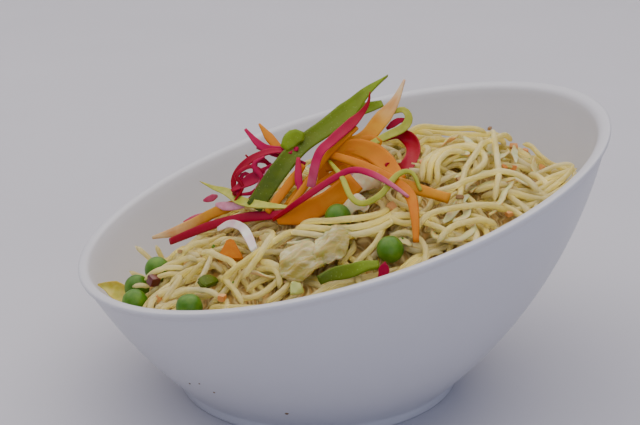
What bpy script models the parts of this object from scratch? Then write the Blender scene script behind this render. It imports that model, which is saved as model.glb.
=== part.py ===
"""A white melamine bowl with a slanted rim, filled with thin noodles, peas and cabbage,
with a tuft of shredded pepper, carrot and red cabbage on top.

The driving dimensions are in millimetres. X runs along the slant, high side at +X, the
table is at z = 0, and the origin is below the middle of the rim."""

import math
import random

import bmesh
import bpy
import numpy as np
from mathutils import Matrix, Vector

MM = 0.001

# The bowl's wall is an arc turned round an upright axis, cut by a tilted rim plane.
WALL_ARC_RADIUS = 181.2
WALL_ARC_CENTRE_OUT = -70.7
WALL_ARC_CENTRE_HEIGHT = 135.8
WALL = 3.2
FOOT_HEIGHT = 4.0
FOOT_RADIUS = 53.3
FOOT_WIDTH = 4.0
FOOT_RECESS = 2.0
FLOOR_HEIGHT = 8.0
RIM_MID_HEIGHT = 74.5
RIM_SLOPE = math.tan(math.radians(15.1))
LIP_OUT = 1.0
LIP_DEPTH = 3.8
BOWL_STEPS = 48

# The heap rises along the slant to a blunt top, falls a little to the near side and
# more to the far side.
HEAP_TOP = 98.0
HEAP_TOP_X = 33.0
HEAP_FALL_LEFT = 0.0040
HEAP_FALL_RIGHT = 0.0066
HEAP_RIDGE_SHIFT = 0.26
HEAP_BELOW_RIM = 6.0
HEAP_FAR_DROP = 34.0
HEAP_FAR_LENGTH = 41.0
CORE_BELOW_HEAP = 4.5
CORE_STEPS = 44

NOODLE_DIAMETER = 2.7
NOODLE_COUNT = 18
SHORTEST_RUN = 5
HEADING_TRIES = 8
PEA_DIAMETER = 9.2
REST_GAP = 0.6
WALL_GAP = 0.9

# The shreds' flat faces look to the near side and up.
SHRED_FACES = Vector((0.0, -0.85, 0.53))

NOODLE_YELLOW = (0.71, 0.60, 0.33)
PEA_GREEN = (0.16, 0.32, 0.04)
PEPPER_GREEN = (0.13, 0.22, 0.02)
CABBAGE_CREAM = (0.72, 0.68, 0.36)
ONION_WHITE = (0.80, 0.70, 0.64)
CARROT_ORANGE = (0.80, 0.25, 0.03)
BEET_RED = (0.25, 0.03, 0.03)
RED_CABBAGE = (0.35, 0.02, 0.05)


def clear_scene():
    for obj in list(bpy.data.objects):
        bpy.data.objects.remove(obj, do_unlink=True)


def new_collection(name):
    collection = bpy.data.collections.new(name)
    bpy.context.scene.collection.children.link(collection)
    return collection


def new_material(name, colour, roughness):
    material = bpy.data.materials.new(name)
    material.use_nodes = True
    shader = material.node_tree.nodes["Principled BSDF"]
    shader.inputs["Base Color"].default_value = (*colour, 1.0)
    shader.inputs["Roughness"].default_value = roughness
    shader.inputs["Metallic"].default_value = 0.0
    return material


def object_from_bmesh(name, shape, collection, material=None):
    """Closes the bmesh into an object, scaled from millimetres to metres."""
    bmesh.ops.scale(shape, vec=(MM, MM, MM), verts=shape.verts)
    bmesh.ops.recalc_face_normals(shape, faces=shape.faces)
    bmesh.ops.triangulate(shape, faces=shape.faces)
    mesh = bpy.data.meshes.new(name)
    shape.to_mesh(mesh)
    shape.free()
    mesh.shade_smooth()
    mesh.set_sharp_from_angle(angle=math.radians(40))
    obj = bpy.data.objects.new(name, mesh)
    collection.objects.link(obj)
    if material:
        mesh.materials.append(material)
    return obj


def outer_radius(z):
    """The wall's outer radius at a height above the table."""
    rise = WALL_ARC_CENTRE_HEIGHT - z
    return WALL_ARC_CENTRE_OUT + math.sqrt(WALL_ARC_RADIUS**2 - rise**2)


def inner_radius(z):
    """The wall keeps its thickness across its slope."""
    rise = WALL_ARC_CENTRE_HEIGHT - z
    slope = rise / math.sqrt(WALL_ARC_RADIUS**2 - rise**2)
    return outer_radius(z) - WALL * math.hypot(1.0, slope)


def lip_point(angle, out, down, axis_x=0.0):
    """A point `out` from the wall's arc and `down` below the tilted rim plane."""
    z = RIM_MID_HEIGHT
    for _ in range(40):
        r = outer_radius(z) + out
        z = RIM_MID_HEIGHT + RIM_SLOPE * r * math.cos(angle) - down
    return Vector((axis_x + r * math.cos(angle), r * math.sin(angle), z))


# The origin is below the middle of the rim's length, so the bowl's axis lies off it.
BOWL_AXIS_X = -(lip_point(0.0, LIP_OUT, 1.0).x + lip_point(math.pi, LIP_OUT, 1.0).x) / 2


def rim_plane(x):
    return RIM_MID_HEIGHT + RIM_SLOPE * (x - BOWL_AXIS_X)


def heap_height(x, y):
    """The height of the noodles' general surface over a place in the bowl."""
    fall = HEAP_FALL_LEFT if x < HEAP_TOP_X else HEAP_FALL_RIGHT
    ridge = HEAP_TOP - fall * (x - HEAP_TOP_X) ** 2
    ridge_y = HEAP_RIDGE_SHIFT * min(x - HEAP_TOP_X, 0.0)
    near_drop = min(max(ridge - rim_plane(x) + HEAP_BELOW_RIM, -2.0), 22.0)
    near = max(ridge_y - y, 0.0) / (90.0 + ridge_y)
    far = max(y - ridge_y, 0.0) / HEAP_FAR_LENGTH
    return ridge - near_drop * near**1.6 - HEAP_FAR_DROP * (1.0 - math.exp(-(far**1.37)))


def core_height(x, y):
    return heap_height(x, y) - CORE_BELOW_HEAP


def wall_room(x, y, z):
    """The distance from a point to the inside of the wall."""
    return inner_radius(z) - math.hypot(x - BOWL_AXIS_X, y)


def off_the_wall(x, y):
    """Moves a place on the heap in until a piece lying there clears the wall."""
    across, along = x - BOWL_AXIS_X, y
    reach = math.hypot(across, along)
    limit = inner_radius(core_height(x, y)) - 1.6
    share = min(1.0, limit / max(reach, 1.0))
    return BOWL_AXIS_X + across * share, along * share


def loft_rings(shape, rings):
    """Joins rings of equal count by quads, with a pole at each end of the list."""
    rows = [[shape.verts.new(point) for point in ring] for ring in rings[1:-1]]
    count = len(rows[0])
    for row, following in zip(rows, rows[1:]):
        for i in range(count):
            j = (i + 1) % count
            shape.faces.new((row[i], row[j], following[j], following[i]))
    for row, pole in ((rows[0], rings[0]), (rows[-1], rings[-1])):
        tip = shape.verts.new(pole)
        for i in range(count):
            shape.faces.new((row[i], row[(i + 1) % count], tip))


def make_bowl(collection):
    """The bowl: foot ring, arced wall, a lip with a small bead, and the inside floor."""
    angles = [2 * math.pi * i / BOWL_STEPS for i in range(BOWL_STEPS)]

    def level(radius, z):
        return [
            (BOWL_AXIS_X + radius * math.cos(a), radius * math.sin(a), z) for a in angles
        ]

    def wall_ring(share, low, radius_at):
        ring = []
        for a in angles:
            top = lip_point(a, 0.0, LIP_DEPTH + 0.7).z
            z = low + share * (top - low)
            ring.append((BOWL_AXIS_X + radius_at(z) * math.cos(a), radius_at(z) * math.sin(a), z))
        return ring

    foot_inner = FOOT_RADIUS - FOOT_WIDTH
    outside = [wall_ring(k / 6, FOOT_HEIGHT, outer_radius) for k in range(7)]
    lip_profile = (
        (0.7, LIP_DEPTH),
        (LIP_OUT, LIP_DEPTH - 0.8),
        (LIP_OUT, 0.9),
        (0.5, 0.2),
        (-0.5, 0.0),
        (-2.0, 0.0),
        (-2.9, 0.4),
        (-WALL - 0.2, 1.4),
    )
    lip = [[lip_point(a, out, down, BOWL_AXIS_X) for a in angles] for out, down in lip_profile]
    inside_low = FLOOR_HEIGHT + 4.0
    inside = [wall_ring(k / 5, inside_low, inner_radius) for k in range(5, -1, -1)]
    floor_radius = inner_radius(inside_low)
    rings = [(BOWL_AXIS_X, 0.0, FOOT_RECESS)]
    rings += [level(foot_inner - 0.5, FOOT_RECESS), level(foot_inner, 0.4)]
    rings += [level(foot_inner + 0.4, 0.0), level(FOOT_RADIUS - 0.4, 0.0)]
    rings += [level(FOOT_RADIUS, 0.4), level(FOOT_RADIUS, FOOT_HEIGHT - 0.5)]
    rings += outside + lip + inside
    rings += [level(floor_radius - 3.5, FLOOR_HEIGHT + 1.2), level(floor_radius - 9.0, FLOOR_HEIGHT)]
    rings += [(BOWL_AXIS_X, 0.0, FLOOR_HEIGHT)]
    shape = bmesh.new()
    loft_rings(shape, rings)
    return object_from_bmesh(
        "bowl", shape, collection, new_material("white melamine", (0.72, 0.72, 0.74), 0.3)
    )


def radius_at_wall(angle):
    """How far the core reaches from the bowl's axis before it meets the wall."""
    r = 60.0
    for _ in range(60):
        z = core_height(BOWL_AXIS_X + r * math.cos(angle), r * math.sin(angle))
        r = 0.5 * r + 0.5 * (inner_radius(z) - WALL_GAP)
    return r


def make_core(collection):
    """The bare heap inside the bowl, with low bumps, cut off a gap short of the wall."""
    angles = [2 * math.pi * i / CORE_STEPS for i in range(CORE_STEPS)]
    reach = [radius_at_wall(a) for a in angles]

    def top_ring(share):
        ring = []
        for a, r in zip(angles, reach):
            x = BOWL_AXIS_X + share * r * math.cos(a)
            y = share * r * math.sin(a)
            ring.append((x, y, core_height(x, y)))
        return ring

    def side_ring(share):
        ring = []
        for a, r in zip(angles, reach):
            edge = core_height(BOWL_AXIS_X + r * math.cos(a), r * math.sin(a))
            z = FLOOR_HEIGHT + 4.0 + share * (edge - FLOOR_HEIGHT - 4.0)
            radius = inner_radius(z) - WALL_GAP
            ring.append((BOWL_AXIS_X + radius * math.cos(a), radius * math.sin(a), z))
        return ring

    low = FLOOR_HEIGHT + REST_GAP
    floor_radius = inner_radius(FLOOR_HEIGHT + 4.0) - 10.0
    floor = [
        (BOWL_AXIS_X + floor_radius * math.cos(a), floor_radius * math.sin(a), low)
        for a in angles
    ]
    rings = [(BOWL_AXIS_X, 0.0, core_height(BOWL_AXIS_X, 0.0))]
    rings += [top_ring(share) for share in (0.13, 0.26, 0.39, 0.52, 0.65, 0.78, 0.9, 1.0)]
    rings += [side_ring(share) for share in (0.75, 0.5, 0.25, 0.0)]
    rings += [floor, (BOWL_AXIS_X, 0.0, low)]
    shape = bmesh.new()
    loft_rings(shape, rings)
    return object_from_bmesh(
        "noodles", shape, collection, new_material("egg noodles", NOODLE_YELLOW, 0.35)
    )


def smooth_path(points, per_span):
    """A Catmull-Rom curve through the points."""
    ends = [2 * points[0] - points[1]] + points + [2 * points[-1] - points[-2]]
    path = []
    for a, b, c, d in zip(ends, ends[1:], ends[2:], ends[3:]):
        for k in range(per_span):
            t = k / per_span
            path.append(
                0.5
                * (
                    2 * b
                    + (c - a) * t
                    + (2 * a - 5 * b + 4 * c - d) * t**2
                    + (3 * b - 3 * c + d - a) * t**3
                )
            )
    return path + [points[-1]]


def make_ribbon(name, points, width, thickness, collection):
    """A shred: a flat strip along a smooth path, narrower at its two ends."""
    path = smooth_path([Vector(p) for p in points], 2)
    deep = 0.5 * thickness
    shape = bmesh.new()
    rows = []
    for i, point in enumerate(path):
        share = i / (len(path) - 1)
        along = (path[min(i + 1, len(path) - 1)] - path[max(i - 1, 0)]).normalized()
        side = along.cross(SHRED_FACES).normalized()
        face = side.cross(along).normalized()
        to_an_end = min(share, 1.0 - share)
        half = 0.5 * width * min(1.0, 0.35 + 1.86 * to_an_end)
        corners = ((-half, -deep), (half, -deep), (half, deep), (-half, deep))
        rows.append([shape.verts.new(point + side * a + face * b) for a, b in corners])
    for row, following in zip(rows, rows[1:]):
        for i in range(4):
            j = (i + 1) % 4
            shape.faces.new((row[i], row[j], following[j], following[i]))
    shape.faces.new(rows[0])
    shape.faces.new(rows[-1])
    return object_from_bmesh(name, shape, collection)


def make_draped(name, centre, half_size, turn, thickness, collection, material=None, **shape_of):
    """A lump or leaf laid on the bare heap: its underside follows the heap, a gap above it."""
    dome =shape_of.get("dome", 0.0)
    wave = shape_of.get("wave", 0.0)
    square = shape_of.get("square", 0.0)
    count = shape_of.get("count", 12)
    leaf = shape_of.get("leaf", False)
    angles = [2 * math.pi * i / count for i in range(count)]
    edge = []
    for a in angles:
        reach = 1.0 + square * abs(math.sin(2 * a)) + 0.12 * wave * math.sin(3 * a + wave)
        u = half_size[0] * reach * math.cos(a)
        v = half_size[1] * reach * math.sin(a)
        x = centre[0] + u * math.cos(turn) - v * math.sin(turn)
        y = centre[1] + u * math.sin(turn) + v * math.cos(turn)
        edge.append(off_the_wall(x, y))
    rings_top, rings_low = [], []
    for share in (0.0, 0.5, 0.86, 1.0):
        top, low = [], []
        for a, (edge_x, edge_y) in zip(angles, edge):
            x = centre[0] + share * (edge_x - centre[0])
            y = centre[1] + share * (edge_y - centre[1])
            ripple = wave * share * (1.0 + math.sin(3 * a + 4 * share + centre[0]))
            ground = core_height(x, y) + REST_GAP
            height = thickness * (0.45 if share == 1.0 else 1.0) + dome * math.sqrt(1 - share**2)
            top.append(Vector((x, y, ground + ripple + height)))
            rest = ripple + dome * math.sqrt(1 - share**2) if leaf else 0.0
            low.append(Vector((x, y, ground + rest)))
        rings_top.append(top)
        rings_low.append(low)
    rings = [rings_top[0][0]] + rings_top[1:] + rings_low[:0:-1] + [rings_low[0][0]]
    shape = bmesh.new()
    loft_rings(shape, rings)
    return object_from_bmesh(name, shape, collection, material)


def make_pea(name, x, y, material, collection):
    radius = PEA_DIAMETER / 2
    around = [2 * math.pi * i / 12 for i in range(12)]
    floor = max(core_height(x + 3 * math.cos(a), y + 3 * math.sin(a)) for a in around)
    centre = Vector((x, y, floor + REST_GAP + radius))
    shape = bmesh.new()
    bmesh.ops.create_uvsphere(shape, u_segments=11, v_segments=7, radius=radius)
    bmesh.ops.translate(shape, vec=centre, verts=shape.verts)
    return object_from_bmesh(name, shape, collection, material)


def make_tube(name, points, diameter, collection):
    """A noodle: a six-sided curve with filled caps, turned into a welded mesh."""
    curve = bpy.data.curves.new(name, "CURVE")
    curve.dimensions = "3D"
    curve.bevel_depth = diameter / 2 * MM
    curve.bevel_resolution = 1
    curve.use_fill_caps = True
    spline = curve.splines.new("POLY")
    spline.points.add(len(points) - 1)
    for target, point in zip(spline.points, points):
        target.co = (*(Vector(point) * MM), 1.0)
    drawn = bpy.data.objects.new(name + "_curve", curve)
    collection.objects.link(drawn)
    bpy.context.view_layer.update()
    graph = bpy.context.evaluated_depsgraph_get()
    mesh = bpy.data.meshes.new_from_object(drawn.evaluated_get(graph))
    place = drawn.matrix_world.copy()
    bpy.data.objects.remove(drawn, do_unlink=True)
    welded = bmesh.new()
    welded.from_mesh(mesh)
    bmesh.ops.remove_doubles(welded, verts=welded.verts, dist=0.00001)
    bmesh.ops.recalc_face_normals(welded, faces=welded.faces)
    bmesh.ops.triangulate(welded, faces=welded.faces)
    welded.to_mesh(mesh)
    welded.free()
    obj = bpy.data.objects.new(name, mesh)
    obj.matrix_world = place
    collection.objects.link(obj)
    return obj


def keep_largest_body(obj):
    """Drops loose scraps and fills sealed hollows, which are both smaller islands."""
    shape = bmesh.new()
    shape.from_mesh(obj.data)
    unseen = set(shape.faces)
    islands = []
    while unseen:
        stack = [unseen.pop()]
        island = set(stack)
        while stack:
            for edge in stack.pop().edges:
                for face in edge.link_faces:
                    if face in unseen:
                        unseen.remove(face)
                        island.add(face)
                        stack.append(face)
        islands.append(island)
    islands.sort(key=len, reverse=True)
    scraps = [face for island in islands[1:] for face in island]
    bmesh.ops.delete(shape, geom=scraps, context="FACES")
    shape.to_mesh(obj.data)
    shape.free()


def fuse(obj, collection):
    """Joins a collection of closed pieces to the object with one Boolean union."""
    modifier = obj.modifiers.new("fuse", "BOOLEAN")
    modifier.operation = "UNION"
    modifier.operand_type = "COLLECTION"
    modifier.collection = collection
    modifier.solver = "MANIFOLD"
    bpy.context.view_layer.update()
    graph = bpy.context.evaluated_depsgraph_get()
    joined = bpy.data.meshes.new_from_object(obj.evaluated_get(graph))
    obj.modifiers.clear()
    obj.data = joined
    for piece in list(collection.objects):
        bpy.data.objects.remove(piece, do_unlink=True)
    bpy.data.collections.remove(collection)
    keep_largest_body(obj)
    obj.data.shade_smooth()
    obj.data.set_sharp_from_angle(angle=math.radians(40))


def clear_run(points, keep_out):
    """The longest stretch of a noodle that stays off the wall and the toppings."""
    reach = NOODLE_DIAMETER / 2 + 0.5
    best, run = [], []
    for point in points:
        apart = np.linalg.norm(keep_out[:, :3] - np.array(point), axis=1) - keep_out[:, 3]
        room = wall_room(point.x, point.y, core_height(point.x, point.y) - 1.0)
        free = apart.min() > reach and room > reach + 0.4
        run = run + [point] if free else []
        if len(run) > len(best):
            best = run
    return best


def lay_strand(x, y, heading, bend, wander, length, hop):
    """A noodle over the heap: its heading drifts, and it hops between its sunk ends."""
    step = 4.3
    count = int(length / step)
    points = []
    for i in range(count + 1):
        share = i / count
        rise = 0.8 + hop * math.sin(math.pi * share) ** 0.6 - 2.2 * abs(2 * share - 1) ** 8
        points.append(Vector((x, y, core_height(x, y) + rise)))
        heading += bend + wander * math.sin(0.6 * i)
        x += step * math.cos(heading)
        y += step * math.sin(heading)
    return points


def sink_ends(points):
    """After a noodle is cut short, its new ends go down into the heap."""
    last = len(points) - 1
    lowered = []
    for i, point in enumerate(points):
        ground = core_height(point.x, point.y)
        rise = (point.z - ground) * min(1.0, min(i, last - i) / 2.0)
        lowered.append(Vector((point.x, point.y, ground + rise - (0.8 if i in (0, last) else 0.0))))
    return lowered


def make_strands(collection, keep_out):
    """Noodles spread evenly over the heap by a golden-angle spiral, plus the swirls."""
    swirls = (
        (32.0, -34.0, 2.0, -0.50, 0.0, 46.0, 2.2),
        (26.0, -28.0, 1.3, -0.33, 0.0, 60.0, 2.8),
        (74.5, -6.0, 2.0, -0.78, 0.0, 30.0, 1.6),
        (-12.0, -50.0, -0.9, 0.20, 0.0, 40.0, 1.8),
        (62.0, -4.0, -2.6, 0.13, 0.07, 56.0, 2.6),
    )
    runs = [clear_run(lay_strand(*swirl), keep_out) for swirl in swirls]
    draw = random.Random(7)
    for k in range(NOODLE_COUNT):
        share = math.sqrt((k + 0.5) / NOODLE_COUNT)
        turn = 2.39996 * k
        x = -4.0 + 84.0 * share * math.cos(turn)
        y = -24.0 + 64.0 * share * math.sin(turn)
        tries = []
        for _ in range(HEADING_TRIES):
            heading = draw.uniform(0.0, 2 * math.pi)
            bend = draw.choice((-1, 1)) * draw.uniform(0.03, 0.20)
            wander = draw.uniform(0.0, 0.15)
            path = lay_strand(x, y, heading, bend, wander, 58.0, draw.uniform(1.0, 3.2))
            tries.append(clear_run(path, keep_out))
        runs.append(max(tries, key=len))
    for k, run in enumerate(runs):
        if len(run) >= SHORTEST_RUN:
            make_tube(f"strand_{k}", sink_ends(run), NOODLE_DIAMETER, collection)


def make_crumbs(collection, keep_out):
    """Diced carrot and browned onion that lie among the noodles, half sunk in the heap."""
    places = ((-64, -27), (-41, -75), (61, -30), (56, -58), (-20, -77), (45, 0), (57, -22))
    for k, (x, y) in enumerate(places):
        shape = bmesh.new()
        bmesh.ops.create_cube(shape, size=1.0)
        bmesh.ops.scale(shape, vec=(4.2, 3.2, 3.0), verts=shape.verts)
        turn = Matrix.Rotation(0.9 * k, 3, Vector((0.3, 0.2, 1.0)))
        bmesh.ops.rotate(shape, matrix=turn, verts=shape.verts)
        centre = Vector((x, y, core_height(x, y) + 0.6))
        apart = np.linalg.norm(keep_out[:, :3] - np.array(centre), axis=1) - keep_out[:, 3]
        if apart.min() > 3.4:
            bmesh.ops.translate(shape, vec=centre, verts=shape.verts)
            object_from_bmesh(f"crumb_{k}", shape, collection)
        else:
            shape.free()


def make_tuft(collection):
    """The garnish: long shreds that cross over a low lump of cabbage heart."""
    # Each shred is its width, its thickness, and the points that it runs through.
    pepper = (
        (6.2, 1.6, (-30, -38, 84), (-22, -32, 94), (-14, -25, 101), (-4, -18, 106), (5, -12, 110)),
        (5.0, 1.0, (-2, -17, 106), (5, -12, 113), (10, -8, 117), (18, -4, 120)),
        (5.0, 2.4, (-20, -26, 101), (-17, -24, 104), (-13, -24, 103)),
        (4.0, 1.0, (3, -12, 109), (10, -8, 109), (17, -6, 109)),
    )
    carrot = (
        (5.4, 1.3, (24, -2, 118), (20, -8, 111), (14, -15, 106), (8, -22, 102), (-4, -30, 100),
         (-6, -35, 91)),
        (2.4, 1.6, (6, -24, 107), (-4, -33, 101), (-14, -42, 90), (-22, -48, 82)),
        (5.4, 1.4, (3, -42, 95), (-5, -46, 88), (-14, -48, 84), (-22, -48, 81)),
        (3.5, 1.5, (-5, -31, 100), (10, -44, 98), (18, -54, 97), (23, -62, 95), (24, -72, 90),
         (24, -78, 85)),
        (6.2, 1.4, (-3, -31, 100), (3, -28, 102), (11, -32, 100), (16, -38, 98), (20, -46, 96)),
        (3.9, 2.4, (13, -48, 97), (24, -53, 94), (36, -58, 92)),
        (3.0, 1.2, (-28, -14, 105), (-24, -20, 101), (-17, -29, 96)),
        (3.9, 1.4, (-69, -6, 62), (-57, -13, 67), (-46, -20, 76), (-35, -30, 84)),
        (3.2, 1.4, (-25, -43, 84), (-19, -37, 90), (-13, -31, 96)),
    )
    light_green = (
        (2.0, 1.3, (-4, -34, 98), (0, -48, 97), (3, -56, 92), (7, -58, 91), (13, -58, 94),
         (19, -54, 99), (24, -52, 99), (27, -56, 94)),
        (2.8, 1.2, (8, -28, 101), (17, -18, 102), (23, -15, 104), (25, -13, 107), (23, -11, 109),
         (19, -9, 107)),
        (2.8, 1.2, (-51, -16, 85), (-46, -20, 84), (-41, -25, 84), (-36, -33, 83), (-30, -40, 84),
         (-18, -47, 85)),
    )
    red_cabbage = (
        (3.0, 1.0, (11, -16, 118), (10, -18, 114), (6, -22, 110), (-3, -29, 104), (-8, -34, 100),
         (-11, -39, 89)),
        (4.8, 1.2, (16, -16, 100), (21, -14, 101), (25, -17, 99), (25, -24, 97), (22, -34, 95),
         (15, -40, 98)),
        (2.1, 1.1, (-22, -49, 83), (-14, -51, 90), (-2, -48, 97), (4, -48, 99), (10, -52, 99),
         (16, -58, 98), (22, -63, 95)),
        (2.6, 1.2, (-62, -14, 64), (-51, -22, 71), (-42, -29, 76), (-33, -36, 80), (-21, -46, 84),
         (-15, -46, 87)),
        (2.4, 1.0, (-15, -31, 98), (-15, -37, 93), (-14, -41, 87)),
        (3.0, 1.2, (-33, -18, 104), (-29, -21, 100), (-24, -23, 99), (-16, -27, 100)),
        (3.4, 1.2, (-38, -30, 85), (-38, -27, 90), (-33, -25, 95), (-25, -25, 99), (-16, -28, 99)),
        (3.2, 1.2, (-38, -31, 86), (-30, -29, 93), (-16, -28, 97)),
    )
    pieces = new_collection("shreds")
    salad = new_material("shredded salad", RED_CABBAGE, 0.4)
    garnish = make_draped(
        "garnish", (-6, -40), (19, 9), 0.35, 3.0, collection, salad, dome=5.0, count=18
    )
    for k, (width, thickness, *points) in enumerate(pepper + carrot + light_green + red_cabbage):
        make_ribbon(f"shred_{k}", points, width, thickness, pieces)
    fuse(garnish, pieces)
    return garnish


def make_toppings(collection):
    """The pieces that lie on the noodles, each its own node."""
    pea = new_material("pea skin", PEA_GREEN, 0.25)
    places = ((-74, -35.5), (-73.5, -49), (-66.6, -33), (-52.5, -73), (-1.5, -54.5), (15.5, -76))
    toppings = [
        make_pea(f"pea_{k + 1}", x, y, pea, collection) for k, (x, y) in enumerate(places)
    ]
    cabbage = new_material("boiled cabbage", CABBAGE_CREAM, 0.35)
    pepper = new_material("green pepper", PEPPER_GREEN, 0.25)
    carrot = new_material("diced carrot", CARROT_ORANGE, 0.4)
    beet = new_material("beetroot", BEET_RED, 0.4)
    onion = new_material("onion", ONION_WHITE, 0.3)
    lumps = (
        ("carrot_chunk", (-39.5, -48), (5.0, 3.4), 0.2, 3.2, carrot, {"square": 0.25}),
        ("beet_dice", (-66.5, -42.5), (2.3, 2.1), 0.6, 3.2, beet, {"square": 0.3}),
        ("pepper_strip", (-0.5, -82.5), (10.5, 2.5), 0.05, 2.2, pepper, {"square": 0.2}),
        ("pepper_dice", (-46.5, -65.5), (4.0, 2.4), 0.9, 2.4, pepper, {"square": 0.2}),
        ("pepper_flake", (-17, -80.5), (3.4, 2.2), 0.2, 1.4, pepper, {"wave": 0.4}),
        ("onion_strip", (-31.5, -50), (1.9, 9.5), 0.3, 1.8, onion, {"dome": 1.0}),
    )
    leaves = (
        ("cabbage_piece", (-11, -67), (13.0, 8.0), 0.1, 1.3, cabbage, {"dome": 3.5, "wave": 0.9}),
        ("cabbage_leaf", (-80.5, -25), (4.8, 3.0), 1.9, 1.2, cabbage, {"dome": 5.0, "wave": 0.8}),
        ("red_cabbage_leaf", (13.8, -85.5), (2.4, 2.6), 0.0, 1.2, beet, {"dome": 3.0, "wave": 0.5}),
    )
    for name, centre, half_size, turn, thickness, material, form in lumps:
        toppings.append(
            make_draped(name, centre, half_size, turn, thickness, collection, material, **form)
        )
    for name, centre, half_size, turn, thickness, material, form in leaves:
        form["leaf"] = True
        toppings.append(
            make_draped(name, centre, half_size, turn, thickness, collection, material, **form)
        )
    return toppings


def keep_out_points(objects):
    """The toppings' corners in millimetres, each with a small radius to stay clear of."""
    rows = []
    for obj in objects:
        for vert in obj.data.vertices:
            rows.append((*(vert.co / MM), 1.2))
    return np.array(rows)


clear_scene()
parts = new_collection("noodle_bowl")
make_bowl(parts)
toppings = make_toppings(parts)
tuft = make_tuft(parts)
noodles = make_core(parts)
around = keep_out_points(toppings + [tuft])
strands = new_collection("strands")
make_strands(strands, around)
make_crumbs(strands, around)
fuse(noodles, strands)
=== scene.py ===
"""The looks of a slanted white bowl heaped with thin noodles and vegetables, built on its
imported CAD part. Lengths below are millimetres, turned to metres where a mesh is made."""

import math
import random

import bpy
import numpy as np
from mathutils import Matrix, Vector


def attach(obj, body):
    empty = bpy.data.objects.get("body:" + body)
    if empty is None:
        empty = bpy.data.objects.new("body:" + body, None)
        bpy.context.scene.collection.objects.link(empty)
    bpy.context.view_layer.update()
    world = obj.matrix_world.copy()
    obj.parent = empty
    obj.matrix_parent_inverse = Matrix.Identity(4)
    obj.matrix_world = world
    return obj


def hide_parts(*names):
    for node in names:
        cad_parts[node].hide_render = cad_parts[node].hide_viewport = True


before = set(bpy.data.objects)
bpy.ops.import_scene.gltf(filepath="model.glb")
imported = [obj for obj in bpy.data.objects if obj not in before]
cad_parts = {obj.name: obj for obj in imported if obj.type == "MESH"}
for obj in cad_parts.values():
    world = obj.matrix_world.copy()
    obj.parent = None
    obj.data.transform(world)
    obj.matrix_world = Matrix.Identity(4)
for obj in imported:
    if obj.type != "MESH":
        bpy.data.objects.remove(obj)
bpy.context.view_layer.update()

# The bowl. One moulding in white melamine: an arced wall on a foot ring, cut off by a
# tilted rim plane and finished with a rounded lip. It is turned from a profile whose
# upper rows follow the rim's slant.
MM = 0.001
WALL = 3.2
WALL_ARC_RADIUS = 181.2
WALL_ARC_OUT = -70.7
WALL_ARC_HEIGHT = 135.8
RIM_HEIGHT = 74.5
RIM_SLANT = math.tan(math.radians(15.1))
FOOT_RADIUS = 53.3
FOOT_HEIGHT = 4.0
FLOOR_HEIGHT = 8.0
BOWL_AXIS_X = -9.32
angles = np.linspace(0.0, 2 * math.pi, 193)


def outer_radius(z):
    """The wall's outer radius at a height: an arc whose middle lies beyond the axis."""
    return WALL_ARC_OUT + np.sqrt(WALL_ARC_RADIUS**2 - (WALL_ARC_HEIGHT - z) ** 2)


def inner_radius(z):
    rise = WALL_ARC_HEIGHT - z
    return outer_radius(z) - WALL * np.hypot(1.0, rise / np.sqrt(WALL_ARC_RADIUS**2 - rise**2))


def rim_plane(x):
    return RIM_HEIGHT + RIM_SLANT * (x - BOWL_AXIS_X)


def ring_at(radius, z, turns=angles):
    """A ring of points round the bowl's axis."""
    places = (BOWL_AXIS_X + radius * np.cos(turns), radius * np.sin(turns), z)
    return np.stack(np.broadcast_arrays(*places), axis=1)


def lip_ring(out, down):
    """A ring `out` from the wall's arc and `down` below the rim plane."""
    z = np.full(len(angles), RIM_HEIGHT)
    for _ in range(40):
        r = outer_radius(z) + out
        z = rim_plane(BOWL_AXIS_X + r * np.cos(angles)) - down
    return ring_at(r, z)


def start_piece():
    bpy.ops.object.select_all(action="DESELECT")


def close_mesh(piece):
    """Merges seams and poles and turns the faces outwards."""
    bpy.context.view_layer.objects.active = piece
    bpy.ops.object.mode_set(mode="EDIT")
    bpy.ops.mesh.select_all(action="SELECT")
    bpy.ops.mesh.remove_doubles(threshold=0.000004)
    bpy.ops.mesh.normals_make_consistent(inside=False)
    bpy.ops.object.mode_set(mode="OBJECT")


def bent_grid(name, places, length=None):
    """Blender's grid with its points moved to `places`, an array of rows of points. Its
    second UV value runs along the rows, in tenths of a metre where a length is given."""
    rows, columns = places.shape[:2]
    start_piece()
    bpy.ops.mesh.primitive_grid_add(x_subdivisions=columns - 1, y_subdivisions=rows - 1, size=1)
    piece = bpy.context.object
    piece.name = name
    piece.data.name = name
    flat = np.empty(len(piece.data.vertices) * 3)
    piece.data.vertices.foreach_get("co", flat)
    flat = flat.reshape(-1, 3)
    column = np.rint((flat[:, 0] + 0.5) * (columns - 1)).astype(int)
    row = np.rint((flat[:, 1] + 0.5) * (rows - 1)).astype(int)
    piece.data.vertices.foreach_set("co", (places[row, column] * MM).ravel())
    if length:
        uv = np.empty(len(piece.data.loops) * 2)
        piece.data.uv_layers[0].data.foreach_get("uv", uv)
        uv = uv.reshape(-1, 2)
        uv[:, 1] *= length / 100.0
        piece.data.uv_layers[0].data.foreach_set("uv", uv.ravel())
    close_mesh(piece)
    bpy.ops.object.shade_smooth()
    return piece


def linear(code):
    """An sRGB hex colour as linear RGBA."""
    parts = [int(code[i : i + 2], 16) / 255 for i in (1, 3, 5)]
    return (*[c / 12.92 if c <= 0.04045 else ((c + 0.055) / 1.055) ** 2.4 for c in parts], 1.0)


def add(tree, kind, inputs=(), **settings):
    """Adds a shader node. An input is given a value, or an output to link to."""
    node = tree.nodes.new("ShaderNode" + kind)
    for key, value in settings.items():
        setattr(node, key, value)
    for key, value in dict(inputs).items():
        if isinstance(value, bpy.types.NodeSocket):
            tree.links.new(value, node.inputs[key])
        else:
            node.inputs[key].default_value = value
    return node


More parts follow.
